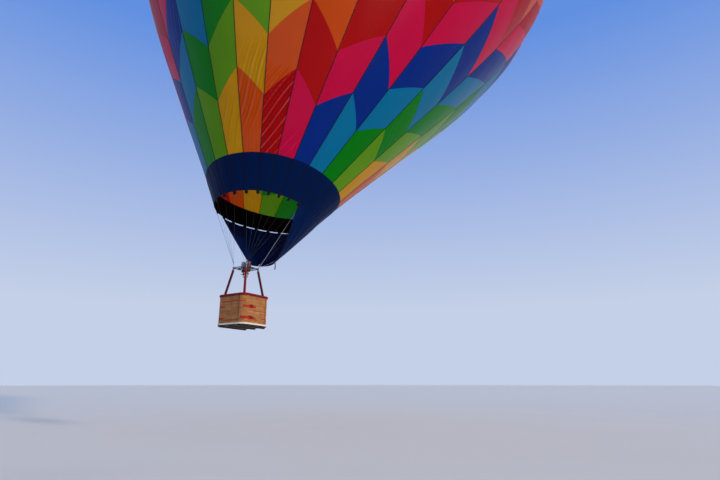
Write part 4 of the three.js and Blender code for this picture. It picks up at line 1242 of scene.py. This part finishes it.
def fuel_cylinder(number, sx, sy):
    """A cylinder in a padded jacket, with its collar, valve and straps."""
    base, inward = gon([sx * CYLINDER_AT, sy * CYLINDER_AT, BOTTOM]), np.array([-sx, -sy, 0])
    shape = Shape()
    jacket = [(1, 0), (95, 0), (115, 10), (124, 35), (125, 60), (124.6, 300), (125, 620), (122, 650), (112, 672)]
    dome = [(112, 672), (104, 684), (88, 700), (70, 706), (46, 709), (1, 710)]
    collar = [(70, 704), (70, 757), (68.5, 764), (66, 765), (64, 757), (64, 704)]
    valve = [(20, 706), (20, 722), (13, 724), (13, 742), (1, 742)]
    wheel = [(4, 742), (22, 744), (24, 750), (22, 757), (1, 758)]
    for outline, sides, material in ((jacket, 48, 1), (dome, 48, 0), (collar, 48, 0), (valve, 20, 3), (wheel, 10, 4)):
        shape.turned(outline, base, sides, material=material)
    stub = [base + np.array([0, 0, 0.732]) + inward * reach for reach in (0, 0.030, 0.040)]
    shape.tube(stub, [0.006, 0.006, 0.009], 12, material=3)
    plug = base + np.array([sx * 0.035, sy * 0.028, 0])
    shape.turned([(14, 712), (14, 722), (1, 724)], plug, 16, material=3)
    for z in (200, 520):
        strap = [(125.5, z - 20), (127.5, z - 19), (127.5, z + 19), (125.5, z + 20)]
        shape.turned(strap, base, 48, material=2)
        buckle = base + np.array([0, 0, z / 1000]) + inward * 0.0905
        shape.block((0.034, 0.030, 0.010), buckle, 0.002, 0, math.atan2(sy, sx))
    materials = [ALLOY, JACKET, STRAP, BRASS, RED_KNOB]
    shape.build(f"fuel_cylinder_{number}_tank", materials, f"fuel_cylinder_{number}", "alloy", angle=40)


for number, corner in enumerate(CORNERS, 1):
    fuel_cylinder(number, *corner)

# Camera at standing height, below and beside the balloon, looking up at it
LENS, SENSOR, REACH = 24.6, 36, 900
EYE_AT, LOOK, PITCH = (11.32, -11.457, -3.58), (-0.5195, 0.8545), math.radians(16.2)


def aim(obj, towards, axis, up):
    """An object turned so that its axis points one way, linked into the scene."""
    obj.rotation_mode = "QUATERNION"
    obj.rotation_quaternion = Vector(towards).to_track_quat(axis, up)
    bpy.context.scene.collection.objects.link(obj)
    return obj


lens = bpy.data.cameras.new("camera")
lens.lens, lens.sensor_width, lens.clip_end = LENS, SENSOR, REACH
camera = bpy.data.objects.new("camera", lens)
camera.location = gon(EYE_AT).tolist()
level = math.cos(PITCH)
bpy.context.scene.camera = aim(camera, (LOOK[0] * level, LOOK[1] * level, math.sin(PITCH)), "-Z", "Y")

# Floor: plain and pale
FLOOR_Z, FLOOR_COLOUR = -22.239, srgb(242, 228, 200)
floor_shape = Shape()
floor_shape.turned([(1, 0), (20000, 0), (60000, 0), (400000, 0)], (0, 0, FLOOR_Z), 64, flip=True)
floor_paint = Paint("floor", 0.9)
floor_paint.colour(floor_paint.shade(FLOOR_COLOUR, 0.02, 0.3))
floor_shape.build("studio_floor", [floor_paint.material], body=None)

# Sky: pale at the horizon, bluer upwards
SKY_LOW, SKY_HIGH, SKY_FROM, SKY_TO = srgb(196, 208, 231), srgb(98, 144, 224), 0.14, 0.61
world = bpy.data.worlds.new("studio")
world.use_nodes = True
tree = world.node_tree
kinds = ("TexCoord", "SeparateXYZ", "MapRange", "Mix")
way, upward, height, sky = (tree.nodes.new("ShaderNode" + kind) for kind in kinds)
sky.data_type = "RGBA"
sky.inputs[6].default_value, sky.inputs[7].default_value = SKY_LOW, SKY_HIGH
height.inputs["From Min"].default_value, height.inputs["From Max"].default_value = SKY_FROM, SKY_TO
for start, end in ((way.outputs["Generated"], upward.inputs[0]), (upward.outputs[2], height.inputs["Value"]),
                   (height.outputs[0], sky.inputs[0]), (sky.outputs[2], tree.nodes["Background"].inputs[0])):
    tree.links.new(start, end)
bpy.context.scene.world = world


def sun(name, towards, energy, angle, colour, shine=True):
    light = bpy.data.lights.new(name, "SUN")
    light.energy, light.angle, light.color = energy, math.radians(angle), colour
    aim(bpy.data.objects.new(name, light), towards, "Z", "Y").visible_glossy = shine


# A low warm key from the right, a fill and a back light
sun("key", (0.93, -0.13, 0.24), 2.25, 6, (1.0, 0.86, 0.72))
sun("fill", (-0.85, -0.4, -0.25), 1.5, 35, (0.92, 0.95, 1.0))
sun("back", (-0.1, 0.95, 0.35), 1.4, 40, (0.97, 0.98, 1.0), shine=False)
bpy.context.scene.view_settings.view_transform = "Standard"
